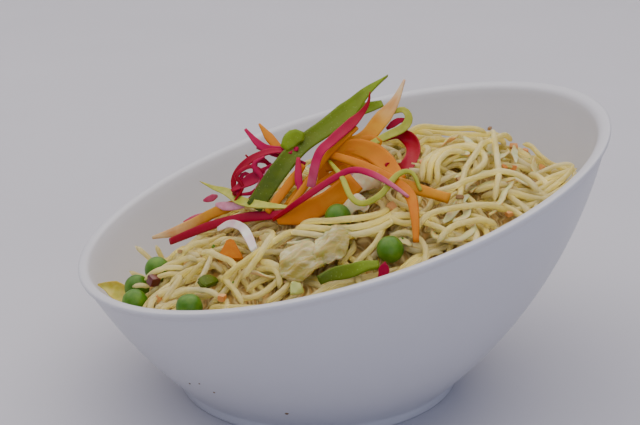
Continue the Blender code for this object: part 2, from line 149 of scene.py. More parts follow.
def new_material(name, **inputs):
    """A material with a Principled shader, and its tree, shader and object coordinates."""
    material = bpy.data.materials.new(name)
    material.use_nodes = True
    tree = material.node_tree
    shader = tree.nodes["Principled BSDF"]
    for key, value in inputs.items():
        shader.inputs[key.replace("_", " ")].default_value = value
    coords = add(tree, "TexCoord").outputs["Object"]
    return material, tree, shader, coords


def noise_of(tree, vector, size, detail=3.0):
    """Noise whose lumps are `size` millimetres across."""
    values = {"Vector": vector, "Scale": 1000.0 / size, "Detail": detail, "Roughness": 0.55}
    return add(tree, "TexNoise", values).outputs["Fac"]


def between(tree, value, low, high, to_low=0.0, to_high=1.0):
    values = {"Value": value, "From Min": low, "From Max": high, "To Min": to_low, "To Max": to_high}
    return add(tree, "MapRange", values).outputs["Result"]


def mixed(tree, share, first, second):
    """Mixes two colours, each a hex code or an output."""
    pair = [linear(c) if isinstance(c, str) else c for c in (first, second)]
    return add(tree, "Mix", {0: share, 6: pair[0], 7: pair[1]}, data_type="RGBA").outputs[2]


def bumped(tree, height, depth, strength):
    """A bump whose height of 1 stands for `depth` millimetres."""
    values = {"Height": height, "Distance": depth * MM, "Strength": strength}
    return add(tree, "Bump", values).outputs["Normal"]


def wall_ring(share, low, radius_at):
    """A ring of the wall, at a share of the way from `low` up to just below the lip."""
    z = low + share * (lip_ring(0.0, 4.5)[:, 2] - low)
    return ring_at(radius_at(z), z)


# The profile from the middle of the underside out, up, over the lip and back inside.
inner_low = FLOOR_HEIGHT + 4.0
floor_reach = float(inner_radius(inner_low))
rings = [ring_at(0.0, 2.0), ring_at(24.0, 2.0), ring_at(48.4, 2.0), ring_at(49.1, 1.4)]
rings += [ring_at(49.4, 0.5), ring_at(49.8, 0.1), ring_at(50.4, 0.0)]
rings += [ring_at(52.4, 0.0), ring_at(53.0, 0.15), ring_at(FOOT_RADIUS, 0.6)]
rings += [ring_at(FOOT_RADIUS, 2.6), ring_at(FOOT_RADIUS + 0.1, 3.6)]
rings += [wall_ring((k / 22) ** 1.15, FOOT_HEIGHT, outer_radius) for k in range(23)]
# How far each ring of the lip is out from the wall's arc and down from the rim plane.
lip_profile = (
    (-0.1, 4.1), (-0.1, 3.7), (0.15, 3.2), (0.6, 2.5), (1.0, 1.8), (1.0, 1.1), (0.75, 0.4),
    (0.2, 0.1), (-0.4, 0.0), (-1.4, 0.0), (-2.2, 0.1), (-2.8, 0.45), (-3.2, 1.0), (-3.45, 1.8),
)  # fmt: skip
rings += [lip_ring(out, down) for out, down in lip_profile]
rings += [wall_ring((k / 20) ** 1.1, inner_low, inner_radius) for k in range(20, -1, -1)]
rings += [ring_at(floor_reach - 1.6, inner_low - 1.7), ring_at(floor_reach - 4.0, 9.0)]
rings += [ring_at(floor_reach - 8.0, FLOOR_HEIGHT + 0.1), ring_at(30.0, FLOOR_HEIGHT)]
rings += [ring_at(0.0, FLOOR_HEIGHT)]
bowl = bent_grid("bowl_body", np.array(rings))

# Melamine: a bright satin white, faintly clouded, its gloss slightly uneven.
melamine, tree, shader, coords = new_material(
    "white satin melamine", Roughness=0.32, Specular_IOR_Level=0.55
)
shade = noise_of(tree, coords, 45.0, 2.0)
tree.links.new(mixed(tree, shade, "#cbcacf", "#d2d1d5"), shader.inputs["Base Color"])
gloss = noise_of(tree, coords, 30.0, 2.0)
tree.links.new(between(tree, gloss, 0.3, 0.7, 0.3, 0.36), shader.inputs["Roughness"])
bowl.data.materials.append(melamine)
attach(bowl, "root")
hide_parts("bowl")


def join(name, pieces):
    start_piece()
    for piece in pieces:
        piece.select_set(True)
    bpy.context.view_layer.objects.active = pieces[0]
    bpy.ops.object.join()
    pieces[0].name = name
    return pieces[0]


# A few specks of sauce on the outside of the wall, dried on, low at the near side, each
# with its angle round the bowl, height and size.
specks = []
speck_places = ((-1.75, 14.0, 0.75), (-2.28, 22.0, 0.5), (-2.19, 24.5, 0.45), (-2.13, 21.0, 0.5))
for angle, z, size in speck_places:
    start_piece()
    bpy.ops.mesh.primitive_uv_sphere_add(segments=10, ring_count=6, radius=size * MM)
    speck = bpy.context.object
    r = float(outer_radius(z)) + 0.05
    place = Vector((BOWL_AXIS_X + r * math.cos(angle), r * math.sin(angle), z)) * MM
    matrix = Matrix.Translation(place)
    matrix = matrix @ Matrix.Rotation(angle, 4, "Z") @ Matrix.Diagonal((0.35, 1.0, 0.7, 1.0))
    speck.data.transform(matrix)
    bpy.ops.object.shade_smooth()
    specks.append(speck)
sauce_specks = join("sauce_specks", specks)
# Dried sauce: brown, a little glossy.
dried, tree, shader, coords = new_material("dried sauce", Roughness=0.4)
shader.inputs["Base Color"].default_value = linear("#7a6242")
sauce_specks.data.materials.append(dried)
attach(sauce_specks, "root")

# The noodles. Boiled thin wheat noodles, about 2.2 mm thick, lightly oiled, in a loose
# tangle with bundles and loops. Each strand is laid in turn on a height field of what
# lies below it, bridges the hollows as a stiff thread does, and is drawn as a round curve.
NOODLE = 2.2
STEP = 1.3
CELL = 0.5
HALF_FIELD = 104.0
SUMMIT_X = 33.0
SUMMIT_HEIGHT = 98.0


def heap_height(x, y):
    """The general surface of the heap, the CAD part's formula: a ridge along the slant,
    gentle to the near rim and steep on the far side."""
    fall = np.where(x < SUMMIT_X, 0.0040, 0.0066)
    ridge = SUMMIT_HEIGHT - fall * (x - SUMMIT_X) ** 2
    ridge_y = 0.26 * np.minimum(x - SUMMIT_X, 0.0)
    near_drop = np.clip(ridge - rim_plane(x) + 6.0, -2.0, 22.0)
    near = np.maximum(ridge_y - y, 0.0) / (90.0 + ridge_y)
    far = np.maximum(y - ridge_y, 0.0) / 41.0
    return ridge - near_drop * near**1.6 - 34.0 * (1.0 - np.exp(-(far**1.37)))


def wall_room(x, y, z):
    """The distance from a place to the inside of the wall."""
    return inner_radius(z) - np.hypot(x - BOWL_AXIS_X, y)


# The height field, in cells: the heap, the level that strands fill up to, the room left to
# the wall, the present top of what is laid, and the ceiling below each topping.
OPEN_SKY = 1000.0
BARE_DEPTH = 6.6
axis_cells = np.arange(-HALF_FIELD, HALF_FIELD, CELL)
field_x, field_y = np.meshgrid(axis_cells, axis_cells, indexing="ij")
heap = heap_height(field_x, field_y)
bumps = np.sin(field_x / 9.0 + 1.3 * np.sin(field_y / 13.0)) * np.sin(field_y / 8.0 + 0.7)
target = heap + 1.1 * bumps - 2.0
room = wall_room(field_x, field_y, heap)
core_top = heap - BARE_DEPTH
top = core_top.copy()
ceiling = np.full(top.shape, OPEN_SKY)


EDGE_CELLS = 8


def cell_of(x, y):
    """The field's cell at a place, kept clear of the field's edge."""
    last = len(axis_cells) - 1 - EDGE_CELLS
    i = np.clip(((np.asarray(x) + HALF_FIELD) / CELL).astype(int), EDGE_CELLS, last)
    j = np.clip(((np.asarray(y) + HALF_FIELD) / CELL).astype(int), EDGE_CELLS, last)
    return i, j


# The cells below a strand, and how far its round underside rises over each.
PRESSED_RADIUS = 0.92 * NOODLE / 2
reach_cells = int(NOODLE / 2 / CELL) + 1
footprint = []
for di in range(-reach_cells, reach_cells + 1):
    for dj in range(-reach_cells, reach_cells + 1):
        apart = CELL * math.hypot(di, dj)
        if apart < PRESSED_RADIUS:
            footprint.append((di, dj, math.sqrt(PRESSED_RADIUS**2 - apart**2)))


def settle(path):
    """The heights of a strand over its path: on what is below, bridging small hollows."""
    i, j = cell_of(path[:, 0], path[:, 1])
    contact = np.max([top[i + di, j + dj] + rise for di, dj, rise in footprint], axis=0)
    z = contact.copy()
    for _ in range(14):
        padded = np.pad(z, 3, mode="edge")
        smooth = sum(padded[k : k + len(z)] for k in range(7)) / 7
        z = np.maximum(contact, smooth)
    padded = np.pad(z, 2, mode="edge")
    return sum(padded[k : k + len(z)] for k in range(5)) / 5


def cover(path, z):
    """Raises the height field to the top of a strand that has been laid."""
    i, j = cell_of(path[:, 0], path[:, 1])
    for di, dj, rise in footprint:
        np.maximum.at(top, (i + di, j + dj), z + rise)


def longest_run(free):
    """The first and last index of the longest unbroken run of True."""
    best, start = (0, 0), None
    for k, value in enumerate(list(free) + [False]):
        if value and start is None:
            start = k
        if not value and start is not None:
            if k - start > best[1] - best[0]:
                best = (start, k)
            start = None
    return best


def anywhere(draw, reach):
    """A random place within `reach` of the bowl's axis."""
    turn, out = draw.uniform(0, 2 * math.pi), reach * math.sqrt(draw.random())
    return BOWL_AXIS_X + out * math.cos(turn), out * math.sin(turn)


TURN_ROOM = 7.0


def wandering(draw, x, y, heading, bend, length):
    """A path whose bend drifts, and that turns along the wall when it has little room."""
    points = []
    curl = bend
    for _ in range(int(length / STEP)):
        points.append((x, y))
        curl += STEP * (draw.gauss(0.0, 0.011) - 0.05 * (curl - bend))
        heading += curl * STEP
        i = int((x + HALF_FIELD) / CELL)
        j = int((y + HALF_FIELD) / CELL)
        left = room[i, j] if 0 <= i < len(axis_cells) and 0 <= j < len(axis_cells) else -1.0
        if left < TURN_ROOM:
            inward = math.atan2(-y, BOWL_AXIS_X - x)
            off = (inward - heading + math.pi) % (2 * math.pi) - math.pi
            if abs(off) > math.pi / 2.3:
                heading += math.copysign(0.12 * STEP * (TURN_ROOM - left) / TURN_ROOM, off)
        x += STEP * math.cos(heading)
        y += STEP * math.sin(heading)
    return np.array(points)


def round_ends(share):
    """Narrows the last points of a strand to a blunt round tip."""
    share[[0, -1]] *= 0.25
    share[[1, -2]] *= 0.9
    return share


END_SINK = 2.4


def finish_strand(path, z, thickness):
    """Lowers both ends into the tangle and rounds them."""
    along = np.arange(len(path)) * STEP
    from_end = np.minimum(along, along[::-1])
    z = z - END_SINK * np.clip(1.0 - from_end / 7.0, 0.0, 1.0) ** 2
    share = thickness * (1.0 + 0.04 * np.sin(along / 7.0 + thickness * 40))
    return np.column_stack([path, z, round_ends(share)])


laid = []
SHORTEST = 13.0


def lay(path, thickness, most, over=False):
    """Lays one strand, cut to its longest stretch that clears the wall, rises no more than
    `most` above the target and, unless it may go over them, clears the toppings."""
    z = settle(path)
    i, j = cell_of(path[:, 0], path[:, 1])
    free = wall_room(path[:, 0], path[:, 1], z) > NOODLE / 2 + 0.35
    free &= z < target[i, j] + most
    if not over:
        free &= z < ceiling[i, j]
    first, last = longest_run(free)
    if (last - first) * STEP < SHORTEST:
        return
    path, z = path[first:last], z[first:last]
    cover(path, z)
    laid.append(finish_strand(path, z, thickness))


def no_noodle_ball(x, y, z, radius):
    """Keeps later strands out of a ball: they may only pass below it."""
    apart = np.hypot(field_x - x, field_y - y)
    reach = radius + NOODLE / 2 + 0.1
    below = z - np.sqrt(np.maximum(reach**2 - apart**2, 0.0))
    ceiling[apart < reach] = np.minimum(ceiling, below)[apart < reach]


def no_noodle_patch(x, y, half_u, half_v, turn, lift):
    """Keeps later strands below a flat piece that lies on the heap."""
    u = (field_x - x) * math.cos(turn) + (field_y - y) * math.sin(turn)
    v = -(field_x - x) * math.sin(turn) + (field_y - y) * math.cos(turn)
    inside = (u / (half_u + 0.8)) ** 2 + (v / (half_v + 0.8)) ** 2 < 1.0
    ceiling[inside] = np.minimum(ceiling, heap + lift - NOODLE / 2)[inside]


# The places of the toppings, which the strands keep clear of: the peas, then the flat
# pieces, with their half sizes, turn and height above the heap.
PEA = 9.2
pea_places = ((-74, -35.5), (-73.5, -49), (-66.6, -33), (-52.5, -73), (-1.5, -54.5), (15.5, -76))
pea_centres = []
# Each pea lies a little sunk between the strands, those at the left end deeper.
for x, y in pea_places:
    ring = np.linspace(0.0, 2 * math.pi, 12, endpoint=False)
    floor_z = float(np.max(heap_height(x + 3 * np.cos(ring), y + 3 * np.sin(ring)))) - 4.5
    sunk = 3.3 if x < -40 else 1.6
    pea_centres.append((x, y, floor_z + 0.6 + PEA / 2 - sunk))
for x, y, z in pea_centres:
    no_noodle_ball(x, y, z, PEA / 2)
for patch in (
    (-9.5, -69, 9.5, 6.0, -0.1, 0.6), (-83, -28, 8.0, 5.0, 2.5, -1.0),
    (2.0, -83.0, 11.0, 2.6, 0.0, -0.8), (-46.5, -65.5, 4.0, 2.4, 0.9, -0.6),
    (-16, -83, 3.4, 2.4, 0.2, -0.8), (-39, -52.5, 4.0, 3.0, 0.0, -1.2),
    (-41, -36.5, 1.2, 3.6, 0.4, 0.6), (-37, -42.5, 1.2, 3.6, 0.4, 0.6),
    (-33.5, -50, 1.2, 3.6, 0.4, 0.6), (-31, -57.5, 1.2, 3.6, 0.4, 0.6),
    (-67.0, -45.5, 2.0, 3.0, 0.0, -1.6), (13.8, -85.5, 2.4, 2.6, 0.0, -1.0),
    (0.0, -42.0, 31.0, 12.0, -0.1, -1.2), (27.0, -54.0, 11.0, 3.0, -0.4, -0.4),
    (-44.0, -28.0, 21.0, 6.5, -0.6, -1.2),
):
    no_noodle_patch(*patch)

# Bundles of one to three strands side by side, each started where the heap still lacks most.
draw = random.Random(11)
for _ in range(330):
    best, best_lack = None, 0.2
    for _ in range(26):
        x, y = anywhere(draw, 92.0)
        i, j = cell_of(x, y)
        if room[i, j] < 3.0:
            continue
        if draw.random() < 0.55:
            bend = draw.gauss(0.0, 0.040)
        else:
            bend = draw.choice((-1, 1)) * draw.uniform(0.06, 0.12)
        path = wandering(draw, x, y, draw.uniform(0, 2 * math.pi), bend, draw.uniform(26.0, 80.0))
        i, j = cell_of(path[:, 0], path[:, 1])
        lack = np.mean((target - top)[i, j][room[i, j] > 2.0]) if np.any(room[i, j] > 2.0) else 0.0
        if lack > best_lack:
            best, best_lack = path, lack
    if best is None:
        continue
    count = draw.choice((1, 1, 1, 2, 2, 3))
    side = np.gradient(best, axis=0)
    side = np.stack([-side[:, 1], side[:, 0]], axis=1) / np.linalg.norm(side, axis=1)[:, None]
    along = np.arange(len(best)) * STEP
    for k in range(count):
        gap = (k - (count - 1) / 2) * draw.uniform(2.1, 3.2)
        drift = draw.uniform(0.4, 1.5) * np.sin(along / draw.uniform(9.0, 16.0) + draw.uniform(0, 6))
        path = best + side * (gap + drift)[:, None]
        path = path[draw.randrange(0, 8) : len(path) - draw.randrange(0, 8)]
        lay(path, draw.uniform(0.84, 1.06), most=1.7)


def fill_bare(draw, count, nearest, most):
    """Lays short strands where the core would still show, from `nearest` to the far side."""
    for _ in range(count):
        for _ in range(60):
            x, y = anywhere(draw, 94.0)
            i, j = cell_of(x, y)
            if y > nearest and room[i, j] > 1.5 and top[i, j] < core_top[i, j] + 1.2:
                break
        heading, bend = draw.uniform(0, 2 * math.pi), draw.gauss(0.0, 0.05)
        path = wandering(draw, x, y, heading, bend, draw.uniform(15.0, 24.0))
        path = path - (path[len(path) // 2] - path[0])
        if y > nearest:
            lay(path, draw.uniform(0.84, 1.0), most=most)


fill_bare(draw, 260, -HALF_FIELD, 1.7)

# Ways for the shreds of cabbage, which lie below the last strands and clear of the tuft.
shred_ways = []
for _ in range(1500):
    x, y = anywhere(draw, 84.0)
    heading, bend = draw.uniform(0, 2 * math.pi), draw.gauss(0.0, 0.05)
    path = wandering(draw, x, y, heading, bend, draw.uniform(14.0, 32.0))
    z = settle(path)
    along_x, along_y = path[:, 0], path[:, 1]
    i, j = cell_of(along_x, along_y)
    clear = np.max(z - target[i, j]) < 3.2 and np.min(ceiling[i, j]) == OPEN_SKY
    clear = clear and np.min(wall_room(along_x, along_y, z)) > 5.0
    below_tuft = (along_x > -42.0) & (along_x < 34.0) & (along_y > -48.0) & (along_y < 2.0)
    if clear and not np.any(below_tuft) and len(shred_ways) < 48:
        cover(path, z - 0.6)
        shred_ways.append(np.column_stack([path, z - 0.7]))

# Short curly strands on top, in every direction, which break up the bundles.
for _ in range(420):
    x, y = anywhere(draw, 86.0)
    bend = draw.choice((-1, 1)) * draw.uniform(0.02, 0.13)
    path = wandering(draw, x, y, draw.uniform(0, 2 * math.pi), bend, draw.uniform(15.0, 42.0))
    i, j = cell_of(path[:, 0], path[:, 1])
    if np.mean((top - target)[i, j]) < 2.0:
        lay(path, draw.uniform(0.84, 1.04), most=2.6)


def through(points, offset=0.0):
    """A smooth path through points on the heap, moved sideways by an offset."""
    knots = [np.array(p, float) for p in points]
    ends = [2 * knots[0] - knots[1]] + knots + [2 * knots[-1] - knots[-2]]
    fine = []
    for a, b, c, d in zip(ends, ends[1:], ends[2:], ends[3:]):
        for t in np.linspace(0.0, 1.0, 24, endpoint=False):
            curve = (c - a) * t + (2 * a - 5 * b + 4 * c - d) * t**2 + (3 * b - 3 * c + d - a) * t**3
            fine.append(b + 0.5 * curve)
    fine = np.array(fine + [knots[-1]])
    if offset and fine.shape[1] == 2:
        along = np.gradient(fine, axis=0)
        side = offset * np.stack([-along[:, 1], along[:, 0]], axis=1)
        fine = fine + side / np.linalg.norm(along, axis=1)[:, None]
    gone = np.concatenate([[0.0], np.cumsum(np.linalg.norm(np.diff(fine, axis=0), axis=1))])
    even = np.arange(0.0, gone[-1], STEP)
    return np.stack([np.interp(even, gone, fine[:, k]) for k in range(fine.shape[1])], axis=1)


# The runs and loops that catch the eye, laid last: the swirl right of the garnish, the
# small loop near the rim, the bundle below the tuft, and single strands between them.
swirl = [(33, -60), (34, -52), (31, -43), (32, -32), (37, -22), (45, -19), (51, -24), (50, -33)]
swirl += [(44, -38)]
runs = [(swirl, 0.0), (swirl[1:7], 2.6), (swirl[2:6], -2.5)]
runs += [(points, 0.0) for points in (
    ((66, 10), (59, -2), (50, -22), (44, -36), (41, -51), (40, -60)),
    ((57, 6), (56, -18), (55, -40), (52, -56)),
    ((74, -6), (74, 4), (79, 9), (84, 5), (84, -3), (79, -7), (74, -4), (70, 4), (62, 10)),
    ((21, -47), (17, -52), (14.5, -58), (13, -66), (9, -74), (2, -79), (-8, -84)),
    ((15, -58), (17, -63), (21, -66.5), (26, -65.5), (31, -71), (38, -76)),
    ((16, -60), (20, -64), (26, -62.5), (33, -68)),
    ((-14, -52), (-26, -62), (-40, -66), (-54, -62)),
    ((22, -74), (30, -66), (44, -62), (56, -62)),
    ((30, -80), (40, -72), (52, -70)),
    ((68, -50), (60, -40), (48, -44), (38, -52), (30, -50)),
    ((-36, -74), (-28, -66), (-24, -56), (-27, -46)),
    ((-22, -84), (-26, -76), (-33, -71), (-42, -57), (-50, -46)),
    ((28, 8), (40, 12), (54, 8), (68, 4)),
    ((24, -4), (34, 2), (47, 4), (58, 2)),
)]
for points, offset in runs:
    lay(through(points, offset), draw.uniform(0.95, 1.05), most=6.0)

# The bundle that runs over the lower half of the pea below the tuft.
bundle = [(-15, -52), (-9, -56), (-2, -60.5), (6, -62), (13, -60), (18, -55)]
for offset, rise in ((0.0, 2.6), (-2.6, 1.2), (-5.0, 0.2)):
    lay(through(bundle, offset), 1.05, most=9.0, over=True)
    strand = laid[-1]
    arch = rise * np.sin(np.linspace(0.0, math.pi, len(strand)))
    highest = heap_height(strand[:, 0], strand[:, 1]) + 1.0
    strand[:, 2] = np.minimum(strand[:, 2], highest) + arch

# Short noodles that lie over the peas at the left end, stacked in front of the third one.
for points in (
    ((-70, -39.5), (-64, -38), (-57, -40), (-50, -46)),
    ((-67, -40), (-60, -39.5), (-54, -38), (-46, -40)),
    ((-60, -64), (-54, -65.5), (-47, -70), (-40, -78)),
):
    lay(through(points), 0.95, most=6.0, over=True)

# Loose ends: three that stick up at the far left, two in front of the third pea, a short
# one before the first pea, and the last five against the wall at the right end.
for points in (
    ((-64, -20, 50), (-68.2, -15, 51.6), (-71.3, -14, 54.7), (-74.1, -14, 57.6), (-77, -13, 59.8)),
    ((-60, -20, 50), (-63.6, -17, 51), (-65.6, -16, 53.8), (-67.3, -16, 57.8), (-68.6, -15, 60.6)),
    ((-67, -26, 49), (-71, -23, 49.5), (-73.5, -22, 50.5), (-76, -22, 51.6), (-79, -21, 53.2)),
    ((-70.5, -41, 57), (-66.9, -42, 60.4), (-62.6, -42, 61.9), (-57, -42.5, 62), (-52, -44, 60)),
    ((-69, -43, 56), (-64.7, -44, 59.4), (-60.4, -44.5, 60.6), (-54, -46, 60)),
    ((-75, -41.2, 54.6), (-72, -41.4, 55.2), (-68.5, -41.8, 54.6)),
    ((66, -34, 86), (73, -31, 89), (79, -29, 90.5), (84.5, -26, 91)),
    ((68, -22, 86), (75, -20, 89), (81, -18, 90), (86, -18, 89)),
    ((70, -42, 87), (75, -38, 89), (80, -34, 91.5), (82.5, -31, 94)),
    ((56, -60, 87), (66, -52, 87.5), (75, -42, 88), (82, -30, 88), (85, -18, 86), (85, -8, 84)),
    ((64, -44, 87), (72, -36, 88), (80, -24, 88), (83, -14, 86), (82, -4, 84)),
):
    free_end = through(points)
    laid.append(np.column_stack([free_end, round_ends(np.full(len(free_end), 0.85))]))

# More short strands on the far side, where the core would show from above.
fill_bare(random.Random(29), 420, 6.0, 3.6)


def draw_tubes(name, strands, diameter):
    """Strands of x, y, z and thickness share as one bevelled curve, made a mesh."""
    curve = bpy.data.curves.new(name, "CURVE")
    curve.dimensions = "3D"
    curve.bevel_depth = diameter / 2 * MM
    curve.bevel_resolution = 2
    curve.use_fill_caps = True
    for strand in strands:
        spline = curve.splines.new("POLY")
        spline.points.add(len(strand) - 1)
        places = np.column_stack([strand[:, :3] * MM, np.ones(len(strand))])
        spline.points.foreach_set("co", places.ravel())
        spline.points.foreach_set("radius", strand[:, 3].copy())
    drawn = bpy.data.objects.new(name, curve)
    bpy.context.collection.objects.link(drawn)
    start_piece()
    drawn.select_set(True)
    bpy.context.view_layer.objects.active = drawn
    bpy.ops.object.convert(target="MESH")
    piece = bpy.context.object
    close_mesh(piece)
    bpy.ops.object.shade_smooth()
    return piece


# Boiled noodle: pale yellow, a touch translucent, each strand a little different, with an
# oily sheen and faint lengthwise unevenness.
noodle, tree, shader, coords = new_material(
    "boiled wheat noodle", Roughness=0.46, Subsurface_Weight=1.0, Subsurface_Scale=0.007,
    Specular_IOR_Level=0.3,
)  # fmt: skip
shader.inputs["Subsurface Radius"].default_value = (0.9, 0.9, 0.5)
# This method leaves no dark marks where strands of one mesh touch.
shader.subsurface_method = "BURLEY"
strand_value = add(tree, "NewGeometry").outputs["Random Per Island"]
colour = mixed(tree, strand_value, "#d0bf69", "#d8cb91")
patches = between(tree, noise_of(tree, coords, 11.0, 2.0), 0.4, 0.7)
colour = mixed(tree, patches, colour, "#ceba5d")
flecks = between(tree, noise_of(tree, coords, 1.6, 2.0), 0.55, 0.75, 0.0, 0.35)
colour = mixed(tree, flecks, colour, "#dddcae")
tree.links.new(colour, shader.inputs["Base Color"])
gloss = between(tree, noise_of(tree, coords, 5.0), 0.3, 0.7, 0.3, 0.5)
tree.links.new(gloss, shader.inputs["Roughness"])
tree.links.new(bumped(tree, noise_of(tree, coords, 1.3, 2.0), 0.12, 0.6), shader.inputs["Normal"])

third = len(laid) // 3 + 1
for k, word in enumerate(("low", "middle", "upper")):
    piece = draw_tubes(f"noodles_{word}", laid[k * third : (k + 1) * third], NOODLE)
    piece.data.materials.append(noodle)
    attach(piece, "root")
    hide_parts("noodles")

# The imported middle of the heap, which shows only as the dark between the strands; its browner
# colour is painted shade.
CORE_DEPTH = 6.1
core_rings = []
core_angles = np.linspace(0.0, 2 * math.pi, 97)
core_reach = np.full(len(core_angles), 60.0)
for _ in range(60):
    edge = ring_at(core_reach, 0.0, core_angles)
    edge_z = heap_height(edge[:, 0], edge[:, 1]) - CORE_DEPTH
    core_reach = 0.5 * core_reach + 0.5 * (inner_radius(edge_z) - 1.0)
for share in np.linspace(0.0, 1.0, 34):
    ring = ring_at(share * core_reach, 0.0, core_angles)
    ring[:, 2] = heap_height(ring[:, 0], ring[:, 1]) - CORE_DEPTH
    core_rings.append(ring)
for share in (0.75, 0.5, 0.25, 0.0):
    z = inner_low + share * (edge_z - inner_low)
    core_rings.append(ring_at(inner_radius(z) - 1.0, z, core_angles))
for r in (floor_reach - 10.0, 0.0):
    core_rings.append(ring_at(r, FLOOR_HEIGHT + 0.7, core_angles))
core = bent_grid("noodle_core", np.array(core_rings))
# Noodles deep in the heap: painted shade, a browner yellow, with darker grooves painted between
# strand-sized bumps.
deep, tree, shader, coords = new_material("noodles deep in the heap", Roughness=0.5)
wave_values = {"Vector": coords, "Scale": 130.0, "Distortion": 16.0, "Detail": 1.0}
threads = add(tree, "TexWave", wave_values).outputs["Fac"]
# Painted shade: the browner yellow, darkest in the grooves of the wave.
tree.links.new(mixed(tree, threads, "#c69848", "#e8ca7e"), shader.inputs["Base Color"])
tree.links.new(bumped(tree, threads, 1.2, 1.0), shader.inputs["Normal"])
core.data.materials.append(deep)
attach(core, "root")
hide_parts("noodles")

# The peas. Six cooked peas, 9 mm, with a taut shiny skin, a slight dimple and a paler band.
peas = []
for k, (x, y, z) in enumerate(pea_centres):
    start_piece()
    bpy.ops.mesh.primitive_uv_sphere_add(segments=32, ring_count=20, radius=PEA / 2 * MM)
    pea = bpy.context.object
    pea.name = f"pea_skin_{k + 1}"
    for vert in pea.data.vertices:
        n = vert.co.normalized()
        dimple = 0.05 * math.exp(-((1.0 - n.z) ** 2) / 0.02)
        vert.co *= 1.0 - (dimple + 0.012 * math.sin(5 * n.x + k) * math.sin(6 * n.y))
    pea.data.transform(Matrix.Rotation(1.1 + 1.7 * k, 4, Vector((0.8, 0.3 + 0.2 * k, 0.4))))
    pea.data.transform(Matrix.Translation(Vector((x, y, z)) * MM))
    bpy.ops.object.shade_smooth()
    peas.append(pea)
# Pea skin: deep green with lighter mottling, wet gloss, light glowing in at the rim.
pea_skin, tree, shader, coords = new_material(
    "cooked pea skin", Roughness=0.34, Subsurface_Weight=0.2, Subsurface_Scale=0.0015,
    Specular_IOR_Level=0.36,
)  # fmt: skip
mottle = between(tree, noise_of(tree, coords, 3.2, 3.0), 0.35, 0.7)
each = add(tree, "NewGeometry").outputs["Random Per Island"]
green = mixed(tree, mottle, "#487a08", "#6a9624")
green = mixed(tree, between(tree, each, 0, 1, 0.0, 0.3), green, "#38590a")
tree.links.new(green, shader.inputs["Base Color"])
tree.links.new(bumped(tree, noise_of(tree, coords, 1.1, 2.0), 0.05, 0.6), shader.inputs["Normal"])
for k, pea in enumerate(peas):
    pea.data.materials.append(pea_skin)
    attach(pea, "root")
    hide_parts(f"pea_{k + 1}")

# Cooked white cabbage. A large pale piece at the near side, two thin crumpled leaves one
# over the other, half clear, and three bits of the heart in the middle of the tuft.


def waves(u, v, seed):
    """A smooth crumpled surface from a few crossing waves, about -1 to 1."""
    total = 0.0
    chance = random.Random(seed)
    for _ in range(5):
        a, b, c = chance.uniform(-1, 1), chance.uniform(-1, 1), chance.uniform(0, 6)
        total = total + np.sin(u * a + v * b + c)
    return total / 3.0


def leaf_piece(name, centre, half_size, turn, thickness, lift, dome, crumple, seed, across):
    """A thin leaf draped on the heap: a rounded patch, domed and crumpled, with a thickness."""
    steps = np.linspace(-1.0, 1.0, across)
    s, t = np.meshgrid(steps, steps, indexing="ij")
    u = s * np.sqrt(1.0 - 0.5 * t**2)
    v = t * np.sqrt(1.0 - 0.5 * s**2)
    ragged = 1.0 + 0.24 * waves(3 * u, 3 * v, seed + 9)
    u, v = u * half_size[0] * ragged, v * half_size[1] * ragged
    x = centre[0] + u * math.cos(turn) - v * math.sin(turn)
    y = centre[1] + u * math.sin(turn) + v * math.cos(turn)
    inside = 1.0 - np.clip((u / half_size[0]) ** 2 + (v / half_size[1]) ** 2, 0.0, 1.0)
    folds = 0.7 - 1.5 * np.abs(waves(0.45 * u, 0.55 * v, seed))
    folds = folds + 0.3 * waves(0.9 * u, 1.2 * v, seed + 4)
    folds = folds - 0.45 * np.abs(waves(1.5 * u, 1.8 * v, seed + 7))
    z = heap_height(x, y) + lift + dome * np.sqrt(inside) + crumple * folds
    piece = bent_grid(name, np.stack([x, y, z], axis=2), 100.0)
    solid = piece.modifiers.new("leaf thickness", "SOLIDIFY")
    solid.thickness = thickness * MM
    solid.offset = -1.0
    bpy.ops.object.modifier_apply(modifier=solid.name)
    bpy.ops.object.shade_smooth()
    return piece


# Each with its centre, half size, turn, thickness, lift, dome, crumple, seed and points across.
large_leaves = [
    leaf_piece("cabbage_large", (-14.0, -70.0), (10.0, 8.4), -0.2, 0.8, -0.2, 2.2, 1.3, 3, 50),
    leaf_piece("cabbage_inner", (-3.6, -68.6), (7.4, 7.2), 0.6, 0.8, 0.9, 2.4, 1.5, 14, 44),
]
hearts = [
    leaf_piece("cabbage_heart_1", (8, -38), (6.5, 5.5), 0.6, 1.2, -1.0, 6.0, 0.7, 21, 26),
    leaf_piece("cabbage_heart_2", (4, -50), (5.0, 4.0), 0.2, 1.2, -1.0, 4.5, 0.6, 22, 26),
    leaf_piece("cabbage_heart_3", (-8, -40), (9.0, 6.0), 0.3, 1.2, -1.0, 5.0, 0.8, 23, 26),
]
